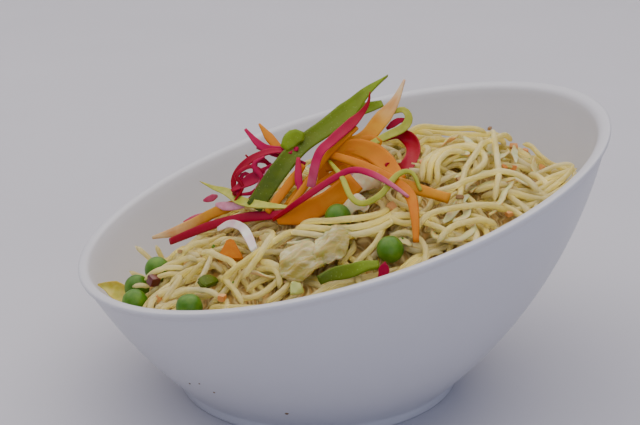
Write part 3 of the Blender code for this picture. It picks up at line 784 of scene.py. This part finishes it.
# Boiled cabbage: milky white towards the far, higher side and yellow-green towards the near, lower
# side, wet and glassy.
cabbage_looks = []
for name, low_tone, high_tone in (
    ("boiled white cabbage", "#9c8a24", "#dfcf90"),
    ("white cabbage heart", "#e0cf9c", "#f3ebd2"),
):
    finish, tree, shader, coords = new_material(
        name, Roughness=0.24, Subsurface_Weight=0.6, Subsurface_Scale=0.003, Specular_IOR_Level=0.55
    )
    uv = add(tree, "TexCoord").outputs["UV"]
    depth = add(tree, "SeparateXYZ", {"Vector": uv}).outputs["X"]
    patch = add(tree, "Math", {0: depth, 1: noise_of(tree, coords, 7.0, 3.0)}).outputs["Value"]
    tone = mixed(tree, between(tree, patch, 0.75, 1.5), low_tone, high_tone)
    along = add(tree, "Mapping", {"Vector": coords, "Scale": (0.35, 1.0, 1.0)}).outputs["Vector"]
    streak = between(tree, noise_of(tree, along, 3.0, 4.0), 0.5, 0.7, 0.0, 0.5)
    tree.links.new(mixed(tree, streak, tone, "#efe6c4"), shader.inputs["Base Color"])
    tree.links.new(bumped(tree, noise_of(tree, along, 3.0, 4.0), 0.35, 0.6), shader.inputs["Normal"])
    cabbage_looks.append(finish)
cabbage, heart = cabbage_looks
for piece in large_leaves:
    piece.data.materials.append(cabbage)
    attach(piece, "root")
    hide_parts("cabbage_piece")
for piece in hearts:
    piece.data.materials.append(heart)
    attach(piece, "root")
    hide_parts("garnish")

# Cut vegetables among the noodles: a yellow-green leaf, strips and dice of green pepper, a
# carrot slice, a cube of beetroot, a strip of onion and a scrap of red cabbage, cooked.


def strip(points, width, thickness, seed, name="shred", face=(0.0, -0.85, 0.53),
          twist=(0.0, 0.0), ends=(0.35, 0.35), cup=0.0, wave=0.0, shade=(0.5, 0.5)):
    """A cut strip along a smooth path: a flattened round section towards `face`, turned by
    `twist` degrees from one end to the other, narrower at its ends, that can cup and wave.
    Its `shade` changes along it and is kept for the material."""
    path = through(points)
    count = len(path)
    share = np.linspace(0.0, 1.0, count)
    along = np.gradient(path, axis=0)
    along /= np.linalg.norm(along, axis=1)[:, None]
    side = np.cross(along, np.array(face))
    side /= np.linalg.norm(side, axis=1)[:, None]
    up = np.cross(side, along)
    angle = np.radians(twist[0] + share * (twist[1] - twist[0]))[:, None]
    turned = side * np.cos(angle) + up * np.sin(angle)
    side, up = turned, up * np.cos(angle) - side * np.sin(angle)
    first_end = ends[0] + (1 - ends[0]) * share / 0.3
    last_end = ends[1] + (1 - ends[1]) * (1 - share) / 0.3
    narrow = np.minimum(first_end, last_end)
    narrow = np.minimum(narrow, 1.0) * (1.0 + 0.07 * np.sin(9 * share + seed))
    ring = np.linspace(0.0, 2 * math.pi, 15)
    across = np.sign(np.cos(ring)) * np.abs(np.cos(ring)) ** 0.7
    deep = np.sign(np.sin(ring)) * np.abs(np.sin(ring)) ** 0.7
    rows = []
    for k in range(count):
        half = 0.5 * width * narrow[k]
        bend = cup * half * (across**2 - 0.5) + wave * math.sin(0.9 * k + seed)
        section = np.outer(across * half, side[k]) + np.outer(0.5 * thickness * deep + bend, up[k])
        rows.append(path[k] + section)
    first_tip, last_tip = path[0] - 0.15 * along[0], path[-1] + 0.15 * along[-1]
    rows = [np.tile(first_tip, (len(ring), 1))] + rows + [np.tile(last_tip, (len(ring), 1))]
    piece = bent_grid(name, np.array(rows), count * STEP)
    values = np.empty(len(piece.data.vertices) * 3)
    piece.data.vertices.foreach_get("co", values)
    apart = np.linalg.norm(values.reshape(-1, 1, 3) / MM - path[None], axis=2)
    tone = shade[0] + apart.argmin(axis=1) / count * (shade[1] - shade[0])
    attribute = piece.data.attributes.new("shade", "FLOAT", "POINT")
    attribute.data.foreach_set("value", tone.astype(np.float32))
    return piece


def lump(name, centre, size, turn, lift, square, rough, seed, taper=0.0):
    """A knife-cut bit: a rounded block with uneven faces, set on the heap."""
    start_piece()
    bpy.ops.mesh.primitive_cube_add(size=2.0)
    piece = bpy.context.object
    piece.name = name
    bpy.ops.object.mode_set(mode="EDIT")
    bpy.ops.mesh.subdivide(number_cuts=6)
    bpy.ops.object.mode_set(mode="OBJECT")
    x, y = centre
    z = float(heap_height(np.array(x), np.array(y))) + lift
    for vert in piece.data.vertices:
        soft = vert.co.normalized().lerp(vert.co, square)
        uneven = math.sin(3 * soft.x + seed) * math.cos(2.5 * soft.y - seed)
        soft *= 1.0 + rough * (uneven + 0.5 * math.sin(5 * soft.z))
        soft.x *= 1.0 - taper * (soft.y + 1.0) / 2
        vert.co = Vector([soft[n] * size[n] / 2 for n in range(3)]) * MM
    place = Matrix.Translation(Vector((x, y, z)) * MM) @ Matrix.Rotation(turn[0], 4, "Z")
    piece.data.transform(place @ Matrix.Rotation(turn[1], 4, "X") @ Matrix.Rotation(turn[2], 4, "Y"))
    bpy.ops.object.shade_smooth_by_angle(angle=math.radians(35))
    return piece


def on_heap(places, lift):
    """Points on the heap's surface, `lift` above it."""
    return [(x, y, float(heap_height(np.array(x), np.array(y))) + lift) for x, y in places]


leaf_way = [(-89, -28, 50.2), (-85.5, -29, 49.8), (-82, -31, 49.0), (-78, -35, 47.2)]
leaf_way += [(-74, -41, 46.5)]
cabbage_left = strip(
    leaf_way, 6.4, 0.9, 9, "cabbage_left", twist=(-15, 20), ends=(0.1, 0.5), cup=0.5, wave=0.22
)
pepper_way = on_heap([(-8.5, -83.4), (-4, -82.6), (2, -83.2), (7, -82.6), (12, -83.2)], 1.3)
pepper_front = strip(
    pepper_way, 4.6, 2.8, 4, "pepper_front",
    twist=(-25, 20), ends=(0.75, 0.6), cup=0.3, wave=0.12, shade=(0.0, 0.7),
)  # fmt: skip
# Each with its centre, size, turn, lift, squareness, roughness, seed and taper.
pepper_bit = lump(
    "pepper_bit", (-46.5, -65.5), (7.6, 4.6, 2.6), (0.9, 0.5, 0.1), 0.6, 0.55, 0.1, 2
)
pepper_pale = lump(
    "pepper_pale", (-16, -83), (5.0, 4.4, 2.0), (0.2, 0.8, 0.2), 0.6, 0.55, 0.14, 3, 0.3
)
carrot_slice = lump(
    "carrot_slice", (-39, -52.5), (9.4, 7.6, 3.0), (0.0, 0.85, 0.0), 0.2, 0.8, 0.06, 5, 0.72
)
beet_cube = lump("beet_cube", (-67.0, -44.5), (3.8, 3.4, 3.4), (0.6, 0.3, 0.2), 1.0, 0.8, 0.06, 6)
onion_way = [(-44, -33.5, 73), (-39.5, -37.5, 76.4), (-35, -45.5, 78), (-32.3, -53, 77)]
onion_way += [(-30, -60, 74.2)]
onion_curve = strip(
    onion_way, 3.3, 1.5, 7, "onion_curve", twist=(15, -20), ends=(0.5, 0.8), cup=0.4
)
scrap_way = [(12.6, -85.2, 73.5), (13.0, -84.8, 76.5), (13.6, -84.4, 80.8)]
leaf_scrap = strip(
    scrap_way, 3.6, 0.9, 8, "leaf_scrap", ends=(0.9, 0.06), cup=0.4, shade=(0.2, 0.35)
)

# Cooked green cabbage: soft yellow-green, wet.
yellow_cabbage, tree, shader, coords = new_material(
    "boiled green cabbage", Roughness=0.35, Subsurface_Weight=0.3, Subsurface_Scale=0.002,
    Specular_IOR_Level=0.4,
)  # fmt: skip
patch = between(tree, noise_of(tree, coords, 4.0, 2.0), 0.35, 0.65)
tree.links.new(mixed(tree, patch, "#bcb024", "#d6c95e"), shader.inputs["Base Color"])
tree.links.new(bumped(tree, noise_of(tree, coords, 1.5), 0.15, 0.6), shader.inputs["Normal"])

# Green pepper: glossy dark skin with painted highlights, pale speckles where the light catches its
# pits.
pepper, tree, shader, coords = new_material(
    "green pepper skin", Roughness=0.34, Subsurface_Weight=0.1, Subsurface_Scale=0.0015,
    Specular_IOR_Level=0.2,
)  # fmt: skip
shade = add(tree, "Attribute", attribute_name="shade").outputs["Fac"]
streaks = noise_of(tree, coords, 5.0, 3.0)
green = mixed(tree, shade, "#465804", "#94b01c")
green = mixed(tree, between(tree, streaks, 0.35, 0.7, 0.0, 0.6), green, "#65750a")
pits = add(tree, "TexVoronoi", {"Vector": coords, "Scale": 900.0}).outputs["Distance"]
# Painted highlights: pale speckles at the pits.
green = mixed(tree, between(tree, pits, 0.0, 0.22, 0.45, 0.0), green, "#b4c56a")
tree.links.new(green, shader.inputs["Base Color"])
tree.links.new(bumped(tree, pits, 0.12, 0.5), shader.inputs["Normal"])

# Pale green pepper flesh: yellow-green and wet.
flesh, tree, shader, coords = new_material(
    "green pepper flesh", Roughness=0.3, Subsurface_Weight=0.25, Subsurface_Scale=0.002,
    Coat_Weight=0.4,
)  # fmt: skip
patch = noise_of(tree, coords, 3.0)
tree.links.new(mixed(tree, patch, "#97a437", "#c3c765"), shader.inputs["Base Color"])
tree.links.new(bumped(tree, noise_of(tree, coords, 1.0), 0.08, 0.6), shader.inputs["Normal"])

# Carrot: orange with paler streaks along the cut, nearly white at some tips, moist.
carrot, tree, shader, coords = new_material(
    "cut carrot", Roughness=0.5, Subsurface_Weight=0.1, Subsurface_Scale=0.0015,
    Specular_IOR_Level=0.14,
)  # fmt: skip
shade = add(tree, "Attribute", attribute_name="shade").outputs["Fac"]
orange = mixed(tree, shade, "#c8700e", "#d89a28")
orange = mixed(tree, between(tree, shade, 1.0, 1.5), orange, "#e8cfa4")
uv = add(tree, "TexCoord").outputs["UV"]
stretched = add(tree, "Mapping", {"Vector": uv, "Scale": (9.0, 14.0, 1.0)}).outputs["Vector"]
fibre = add(tree, "TexNoise", {"Vector": stretched, "Scale": 1.0, "Detail": 3.0}).outputs["Fac"]
orange = mixed(tree, between(tree, fibre, 0.45, 0.75, 0.0, 0.5), orange, "#da8e18")
blotches = between(tree, noise_of(tree, coords, 6.0), 0.4, 0.7, 0.0, 0.4)
tree.links.new(mixed(tree, blotches, orange, "#c0620c"), shader.inputs["Base Color"])
tree.links.new(bumped(tree, fibre, 0.12, 0.5), shader.inputs["Normal"])

# Beetroot: nearly black red.
beet, tree, shader, coords = new_material("diced beetroot", Roughness=0.35, Coat_Weight=0.3)
patch = noise_of(tree, coords, 2.0)
tree.links.new(mixed(tree, patch, "#4a120f", "#7c2a22"), shader.inputs["Base Color"])
tree.links.new(bumped(tree, noise_of(tree, coords, 0.8), 0.1, 0.6), shader.inputs["Normal"])

# Onion: white with a pink tinge along one edge, translucent and glossy.
onion, tree, shader, coords = new_material(
    "cooked onion", Roughness=0.25, Subsurface_Weight=0.45, Subsurface_Scale=0.003, Coat_Weight=0.5
)
blush = between(tree, noise_of(tree, coords, 7.0, 1.0), 0.4, 0.7)
tree.links.new(mixed(tree, blush, "#eee3d2", "#e3bfc0"), shader.inputs["Base Color"])
tree.links.new(bumped(tree, noise_of(tree, coords, 2.0), 0.1, 0.5), shader.inputs["Normal"])

# Red cabbage: crimson to magenta, with paler cut edges, waxy gloss.
red_cabbage, tree, shader, coords = new_material(
    "red cabbage", Roughness=0.38, Subsurface_Weight=0.08, Subsurface_Scale=0.001,
    Specular_IOR_Level=0.15,
)  # fmt: skip
shade = add(tree, "Attribute", attribute_name="shade").outputs["Fac"]
crimson = mixed(tree, between(tree, shade, 0.0, 0.5), "#960408", "#b80c4c")
crimson = mixed(tree, between(tree, shade, 0.5, 1.0), crimson, "#dfa0b2")
veins = between(tree, noise_of(tree, coords, 4.0, 3.0), 0.5, 0.75, 0.0, 0.5)
tree.links.new(mixed(tree, veins, crimson, "#b01040"), shader.inputs["Base Color"])
tree.links.new(bumped(tree, noise_of(tree, coords, 1.5), 0.1, 0.5), shader.inputs["Normal"])

for piece, node, finish, slot in (
    (cabbage_left, "cabbage_leaf", yellow_cabbage, "cabbage"),
    (pepper_front, "pepper_strip", pepper, "pepper"),
    (pepper_bit, "pepper_dice", pepper, "pepper"),
    (pepper_pale, "pepper_flake", flesh, "pepper"),
    (carrot_slice, "carrot_chunk", carrot, "carrot"),
    (beet_cube, "beet_dice", beet, "beet"),
    (onion_curve, "onion_strip", onion, "onion"),
    (leaf_scrap, "red_cabbage_leaf", red_cabbage, "red_cabbage"),
):
    piece.data.materials.append(finish)
    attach(piece, "root")
    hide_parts(node)

# Shreds of cooked white cabbage among the top noodles: flat ribbons, cut 2 to 4 mm wide,
# limp and half clear, from cream to a light yellow-green.
cabbage_shreds = []
shred_draw = random.Random(8)
for k, way in enumerate(shred_ways):
    tilt = shred_draw.uniform(-45, 45)
    width = shred_draw.uniform(2.0, 3.8)
    twist = (tilt, tilt + shred_draw.uniform(-70, 70))
    cup = shred_draw.uniform(-0.4, 0.4)
    shade = (shred_draw.random(), shred_draw.random())
    cabbage_shreds.append(
        strip(
            way[::4], width, 0.8, k, face=(0.0, -0.3, 0.95), twist=twist,
            ends=(0.3, 0.4), cup=cup, wave=0.2, shade=shade,
        )
    )  # fmt: skip
shredded_cabbage = join("shredded_cabbage", cabbage_shreds)
# Limp cabbage: glassy pale yellow with whiter streaks along the cut.
limp, tree, shader, coords = new_material(
    "limp white cabbage", Roughness=0.3, Subsurface_Weight=0.7, Subsurface_Scale=0.004,
    Specular_IOR_Level=0.45,
)  # fmt: skip
shade = add(tree, "Attribute", attribute_name="shade").outputs["Fac"]
tone = mixed(tree, shade, "#cdbb5e", "#e3d5a2")
streak = between(tree, noise_of(tree, coords, 2.6, 3.0), 0.5, 0.75, 0.0, 0.5)
tree.links.new(mixed(tree, streak, tone, "#ece0bc"), shader.inputs["Base Color"])
tree.links.new(bumped(tree, noise_of(tree, coords, 1.8, 2.0), 0.25, 0.6), shader.inputs["Normal"])
shredded_cabbage.data.materials.append(limp)
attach(shredded_cabbage, "root")
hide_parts("noodles")

# The garnish. A tuft of raw shreds set on top: a broad strip of green pepper and two
# short ones, carrot blades and sticks, light green curls and ribbons of red cabbage.
pepper_shreds = [
    strip([(-31, -39, 83), (-22, -32, 94), (-14, -25, 101), (-4, -18, 106), (4, -13, 111),
          (10, -9, 116), (18, -4, 120.5)], 7.0, 2.0, 1, twist=(-6, 12), ends=(0.8, 0.02), cup=0.35,
          shade=(-0.1, 0.75)),
    strip([(-20, -26.5, 100.5), (-16.5, -24.5, 104), (-12, -24.5, 104)], 5.8, 2.6, 3,
          ends=(0.6, 0.6), cup=0.2, shade=(0.75, 0.5)),
    strip([(3, -12, 108.5), (10, -8, 109.5), (16, -6, 110.5)], 4.8, 1.1, 4, twist=(20, 20),
          ends=(0.7, 0.6), cup=0.2, shade=(0.4, 0.6)),
]
carrot_shreds = [
    strip([(24, -2, 118), (20, -8, 111.5), (14, -15, 106), (8, -22, 102), (-4, -30, 100),
          (-7, -36, 90)], 5.6, 1.4, 5, twist=(-12, 14), ends=(0.15, 0.6), cup=0.2, shade=(1.5, 0.1)),
    strip([(6, -24, 107), (-4, -33, 101), (-14, -42, 90), (-22, -48, 82)], 2.5, 1.7, 6,
          ends=(0.6, 0.4), shade=(0.3, 0.5)),
    strip([(5, -44, 94), (-4, -48, 88.5), (-13, -50, 85), (-23, -49.5, 81.5)], 8.2, 1.6, 7,
          twist=(-8, 8), ends=(0.9, 0.3), cup=0.1, shade=(0.2, 0.05)),
    strip([(-5, -31, 100), (3, -38, 99.5), (10, -44, 98.5), (18, -54, 97), (23, -62, 94.5),
          (24, -72, 90), (24, -79, 84.5)], 3.7, 1.6, 8, twist=(10, -10), ends=(0.7, 0.6),
          shade=(0.2, 0.0)),
    strip([(-6, -33, 96), (2, -31, 98), (9, -33, 98), (15, -38, 96.5), (20, -44, 94)], 7.4, 1.5,
          32, ends=(0.6, 0.6), cup=0.15, shade=(0.1, 0.05)),
    strip([(-4, -31, 99), (3, -29, 101.5), (11, -32, 100.5), (16, -38, 98), (21, -47, 95.5)], 6.9,
          1.5, 9, twist=(-6, 6), ends=(0.5, 0.5), cup=0.15, shade=(0.3, 0.15)),
    strip([(12, -47, 97.5), (24, -53, 94.5), (36.5, -58, 92)], 4.1, 2.6, 10, twist=(6, 0),
          ends=(0.9, 0.9), shade=(0.7, 0.8)),
    strip([(-29, -13, 105.5), (-24, -20, 101), (-17, -29, 96)], 3.2, 1.3, 11, ends=(0.3, 0.6),
          shade=(0.4, 0.2)),
    strip([(-70, -8, 60.5), (-58, -14, 66), (-46.5, -21, 74.5), (-35, -31, 82.5)], 4.4, 1.5, 12,
          twist=(-10, 12), ends=(0.3, 0.8), shade=(1.4, 0.7)),
    strip([(-26, -44, 83), (-19, -37, 90), (-13, -31, 96)], 3.4, 1.5, 13, ends=(0.6, 0.6),
          shade=(0.2, 0.3)),
    strip([(-12, -40, 88), (-4, -37, 92), (3, -34, 97)], 4.2, 1.4, 35, ends=(0.5, 0.5),
          shade=(0.1, 0.2)),
    strip([(-20, -40, 84), (-14, -36, 89), (-8, -33, 96)], 2.6, 1.4, 36, ends=(0.5, 0.5),
          shade=(0.6, 0.4)),
    strip([(6, -23, 101), (11, -22, 101.5), (16, -22, 100)], 4.2, 1.4, 37, ends=(0.5, 0.5),
          shade=(0.3, 0.5)),
]
green_shreds = [
    strip([(-4, -34, 98), (0, -48, 97), (3, -56, 92.5), (7, -58.5, 91), (13, -58.5, 94),
          (19, -54, 99.5), (24, -52, 99.5), (27, -56, 94)], 2.2, 1.4, 14, ends=(0.5, 0.6),
          shade=(0.3, 0.5)),
    strip([(8, -28, 101), (17, -18, 102), (23, -15, 104), (25, -13, 107), (23, -11, 109.5),
          (18, -9, 107.5)], 3.0, 1.2, 15, ends=(0.4, 0.6), cup=0.3, shade=(0.6, 0.4)),
    strip([(-51, -16, 85), (-46, -20, 84), (-41, -25, 84), (-36, -33, 83.5), (-30, -40, 84.5),
          (-17, -47, 85.5)], 3.4, 1.3, 16, twist=(0, 25), ends=(0.08, 0.4), cup=0.4,
          shade=(0.5, 0.8)),
]
red_shreds = [
    strip([(11, -16, 118), (10, -18, 114), (6, -22, 110), (-3, -33, 105.4), (-8, -39.5, 102),
          (-11, -44.5, 91)], 3.6, 1.1, 17, ends=(0.12, 0.8), cup=0.3, wave=0.15, shade=(0.0, 0.66)),
    strip([(15, -16.5, 100), (21, -14, 101.5), (25.5, -17, 99.5), (26, -24, 97), (22, -34, 95),
          (15, -40, 98)], 5.2, 1.2, 18, twist=(-30, 10), ends=(0.4, 0.5), cup=0.5,
          shade=(0.05, 0.1)),
    strip([(-24, -49, 82), (-14, -51, 90), (-2, -48, 97), (4, -48, 99.5), (10, -52, 99.5),
          (16, -58, 98), (23, -64, 94.5)], 2.4, 1.2, 19, ends=(0.6, 0.4), shade=(0.0, 0.75)),
    strip([(-63, -15, 61.5), (-52, -22.5, 68.7), (-43, -29.5, 74.2), (-33, -37, 78.8),
          (-21, -46.5, 83.3), (-14, -46.5, 86.5)], 3.5, 1.3, 20, ends=(0.7, 0.7), shade=(0.1, 0.25)),
    strip([(-15, -31, 98.5), (-15, -37, 93), (-14, -41, 87)], 2.6, 1.1, 21, ends=(0.5, 0.5),
          shade=(0.3, 0.6)),
    strip([(-34, -17, 105), (-29, -21, 100.5), (-24, -23, 99), (-15, -27, 100.5)], 2.8, 1.3, 22,
          ends=(0.4, 0.6), cup=0.3, wave=0.15, shade=(0.5, 0.45)),
    strip([(-38, -30, 84.5), (-38, -27, 90), (-33, -25, 95.5), (-25, -25, 99), (-16, -28, 99.5)],
          2.7, 1.2, 23, twist=(0, 30), ends=(0.6, 0.6), cup=0.4, shade=(0.05, 0.3)),
    strip([(-39, -31, 86.5), (-29, -29, 91.5), (-16, -28, 97)], 4.2, 1.2, 24, twist=(20, -20),
          ends=(0.3, 0.7), cup=0.4, shade=(0.2, 0.5)),
    strip([(-30, -20, 99), (-22, -23, 97), (-12, -28, 95)], 2.2, 1.1, 25, ends=(0.4, 0.6),
          wave=0.3, shade=(0.5, 0.4)),
    strip([(-37, -31, 85), (-35, -26, 91), (-31, -26, 90), (-30, -24, 95), (-24, -24, 94)], 1.7,
          0.9, 33, ends=(0.5, 0.5), wave=0.3, shade=(0.3, 0.5)),
    strip([(-34, -22, 97), (-31, -22, 94), (-28, -24, 96), (-24, -24, 93), (-18, -26, 95)], 1.5,
          0.9, 34, ends=(0.4, 0.5), wave=0.3, shade=(0.1, 0.3)),
    strip([(-38, -32, 83), (-35, -31, 88), (-37, -30, 92), (-32, -29, 95), (-26, -29, 92),
          (-20, -31, 93)], 1.6, 0.9, 38, ends=(0.4, 0.5), wave=0.25, shade=(0.0, 0.3)),
    strip([(-36, -31, 85), (-31, -32, 86.5), (-28, -31, 91), (-31, -29, 95.5), (-27, -27, 98)],
          1.8, 0.9, 39, ends=(0.5, 0.4), wave=0.2, shade=(0.2, 0.5)),
    strip([(-33, -33, 84), (-27, -33, 89), (-22, -32, 90), (-18, -31, 95)], 1.5, 0.9, 40,
          ends=(0.5, 0.5), wave=0.25, shade=(0.0, 0.1)),
    strip([(-58, -12, 68), (-52, -14, 71), (-46, -18, 73)], 2.0, 1.0, 26, ends=(0.3, 0.4),
          shade=(0.6, 0.7)),
    strip([(-50, -14, 77), (-47, -17, 79), (-45, -19, 80.5)], 2.6, 1.0, 27, ends=(0.4, 0.5),
          shade=(0.5, 0.7)),
]
# White ribs of red cabbage and slivers of its heart, in the middle of the tuft.
white_shreds = [
    strip([(-30, -32, 87), (-25, -29, 92), (-19, -27, 97)], 4.0, 1.3, 28, ends=(0.5, 0.6), cup=0.3,
          shade=(0.9, 1.0)),
    strip([(17, -13, 103), (21, -12, 105.5), (24, -12, 106)], 2.4, 1.1, 29, ends=(0.5, 0.5),
          cup=0.3, shade=(0.15, 0.3)),
    strip([(-45, -24, 79), (-40, -29, 80), (-34, -34, 82)], 3.2, 1.2, 30, ends=(0.5, 0.5),
          shade=(0.9, 0.95)),
    strip([(-10, -26, 96), (-2, -32, 95), (6, -38, 93)], 3.6, 1.3, 31, ends=(0.5, 0.5), cup=0.3,
          shade=(0.8, 0.9)),
]
# Light green leek or celery: pale, smooth and a little glassy.
light_green, tree, shader, coords = new_material(
    "light green celery", Roughness=0.35, Subsurface_Weight=0.2, Subsurface_Scale=0.002,
    Specular_IOR_Level=0.35,
)  # fmt: skip
shade = add(tree, "Attribute", attribute_name="shade").outputs["Fac"]
tone = mixed(tree, shade, "#9ea41c", "#c8c450")
streak = between(tree, noise_of(tree, coords, 3.0), 0.4, 0.7, 0.0, 0.5)
tree.links.new(mixed(tree, streak, tone, "#8a9614"), shader.inputs["Base Color"])
tree.links.new(bumped(tree, noise_of(tree, coords, 1.2), 0.06, 0.5), shader.inputs["Normal"])
for name, shreds, finish in (
    ("garnish_pepper", pepper_shreds, pepper),
    ("garnish_carrot", carrot_shreds, carrot),
    ("garnish_celery", green_shreds, light_green),
    ("garnish_red_cabbage", red_shreds + white_shreds, red_cabbage),
):
    piece = join(name, shreds)
    piece.data.materials.append(finish)
    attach(piece, "root")
    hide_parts("garnish")

# The crumbs. Finely diced carrot, browned onion and chopped herb scattered through the top
# of the heap, each a small cut block lying on or between the strands.
crumb_draw = random.Random(5)


def crumbs(name, places, sizes, colours, sink):
    """Small cut blocks, each sunk a little into what lies below it."""
    pieces = []
    for k, (x, y) in enumerate(places):
        i, j = cell_of(x, y)
        size = [crumb_draw.uniform(*sizes) * share for share in (1.0, 0.75, 0.6)]
        turn = [crumb_draw.uniform(0, 3.1) for _ in range(3)]
        start_piece()
        bpy.ops.mesh.primitive_cube_add(size=2.0)
        piece = bpy.context.object
        bpy.ops.object.mode_set(mode="EDIT")
        bpy.ops.mesh.subdivide(number_cuts=1)
        bpy.ops.object.mode_set(mode="OBJECT")
        for vert in piece.data.vertices:
            soft = vert.co.normalized().lerp(vert.co, 0.55)
            vert.co = Vector([soft[n] * size[n] / 2 * MM for n in range(3)])
        centre = Vector((x, y, float(top[i, j]) - sink)) * MM
        place = Matrix.Translation(centre) @ Matrix.Rotation(turn[0], 4, "Z")
        piece.data.transform(place @ Matrix.Rotation(turn[1] * 0.3, 4, "X"))
        bpy.ops.object.shade_smooth_by_angle(angle=math.radians(40))
        pieces.append(piece)
    piece = join(name, pieces)
    look = new_material(name.replace("_", " "), Roughness=0.4, Specular_IOR_Level=0.3)
    material, tree, shader, coords = look
    each = add(tree, "NewGeometry").outputs["Random Per Island"]
    tree.links.new(mixed(tree, each, *colours), shader.inputs["Base Color"])
    tree.links.new(bumped(tree, noise_of(tree, coords, 0.9), 0.1, 0.6), shader.inputs["Normal"])
    piece.data.materials.append(material)
    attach(piece, "root")
    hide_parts("noodles")


def scattered(count):
    """Places over the heap, clear of the wall and of the toppings."""
    places = []
    while len(places) < count:
        x, y = anywhere(crumb_draw, 90.0)
        i, j = cell_of(x, y)
        if room[i, j] > 4.0 and ceiling[i, j] == OPEN_SKY:
            places.append((x, y))
    return places


orange_spots = [(-63, -36), (-64, -26), (-41, -77), (62, -25), (57, -60), (-24, -50), (-15, -49)]
orange_spots += [(61, -28), (50, -60)]
crumbs("diced_carrot", orange_spots + scattered(26), (2.4, 4.2), ("#d9812f", "#e3a866"), 1.2)
brown_spots = [(44, 9), (-19, -76), (62, -20), (40, -58), (30, -62)]
crumbs("browned_onion", brown_spots + scattered(16), (1.6, 3.2), ("#8a6335", "#b08a55"), 0.7)
herb_spots = [(70, -4), (-35, -24), (20, -70), (52, -66)]
crumbs("chopped_herb", herb_spots + scattered(22), (0.9, 2.0), ("#46700e", "#78981c"), 0.3)

# The table: one pale sheet, level far beyond the bowl, which curves up at its far end.
floor_rows = []
floor_profile = [(-3000, 0), (0, 0), (800, 0), (1000, 6), (1200, 40), (1350, 120), (1450, 260)]
floor_profile += [(1500, 900)]
for out, z in floor_profile:
    floor_rows.append([(across, out, z) for across in (-3000, -800, 0, 800, 3000)])
pale_floor = bent_grid("pale_floor", np.array(floor_rows, float))
paper, tree, shader, coords = new_material("pale paper", Roughness=0.7)
clouds = noise_of(tree, coords, 120.0, 2.0)
tree.links.new(mixed(tree, clouds, "#c0bfc5", "#c7c6cc"), shader.inputs["Base Color"])
pale_floor.data.materials.append(paper)

# Soft studio light from above, weaker ones from the front and the left, and a pale room.
world = bpy.data.worlds.new("pale studio")
bpy.context.scene.world = world
world.use_nodes = True
world.node_tree.nodes["Background"].inputs["Color"].default_value = linear("#c4cef0")
world.node_tree.nodes["Background"].inputs["Strength"].default_value = 0.44
for name, place, size, energy, tint in (
    ("overhead softbox", (-0.05, 0.20, 1.1), 2.2, 26.5, "#fff6ec"),
    ("front fill", (0.3, -1.3, 0.4), 1.4, 6.0, "#e2e8ff"),
    ("left fill", (-1.1, 0.1, 0.7), 0.9, 1.5, "#fff6ec"),
):
    light = bpy.data.lights.new(name, "AREA")
    light.size = size
    light.energy = energy
    light.color = linear(tint)[:3]
    lamp = bpy.data.objects.new(name, light)
    bpy.context.collection.objects.link(lamp)
    lamp.location = place
    lamp.rotation_euler = (Vector((0, 0, 0.06)) - Vector(place)).to_track_quat("-Z", "Y").to_euler()

# The camera stands where the photo's did: 20 degrees above the table, rolled by 1 degree.
camera = bpy.data.objects.new("camera", bpy.data.cameras.new("camera"))
bpy.context.collection.objects.link(camera)
camera.data.lens = 101.25
camera.data.sensor_width = 36.0
camera.data.dof.use_dof = False
camera.location = Vector((-7.66, -634.45, 300.8)) * MM
pitch, roll = math.radians(20.28), math.radians(0.98)
look = Matrix.Rotation(math.pi / 2 - pitch, 4, "X") @ Matrix.Rotation(-roll, 4, "Z")
camera.rotation_euler = look.to_euler()
bpy.context.scene.camera = camera
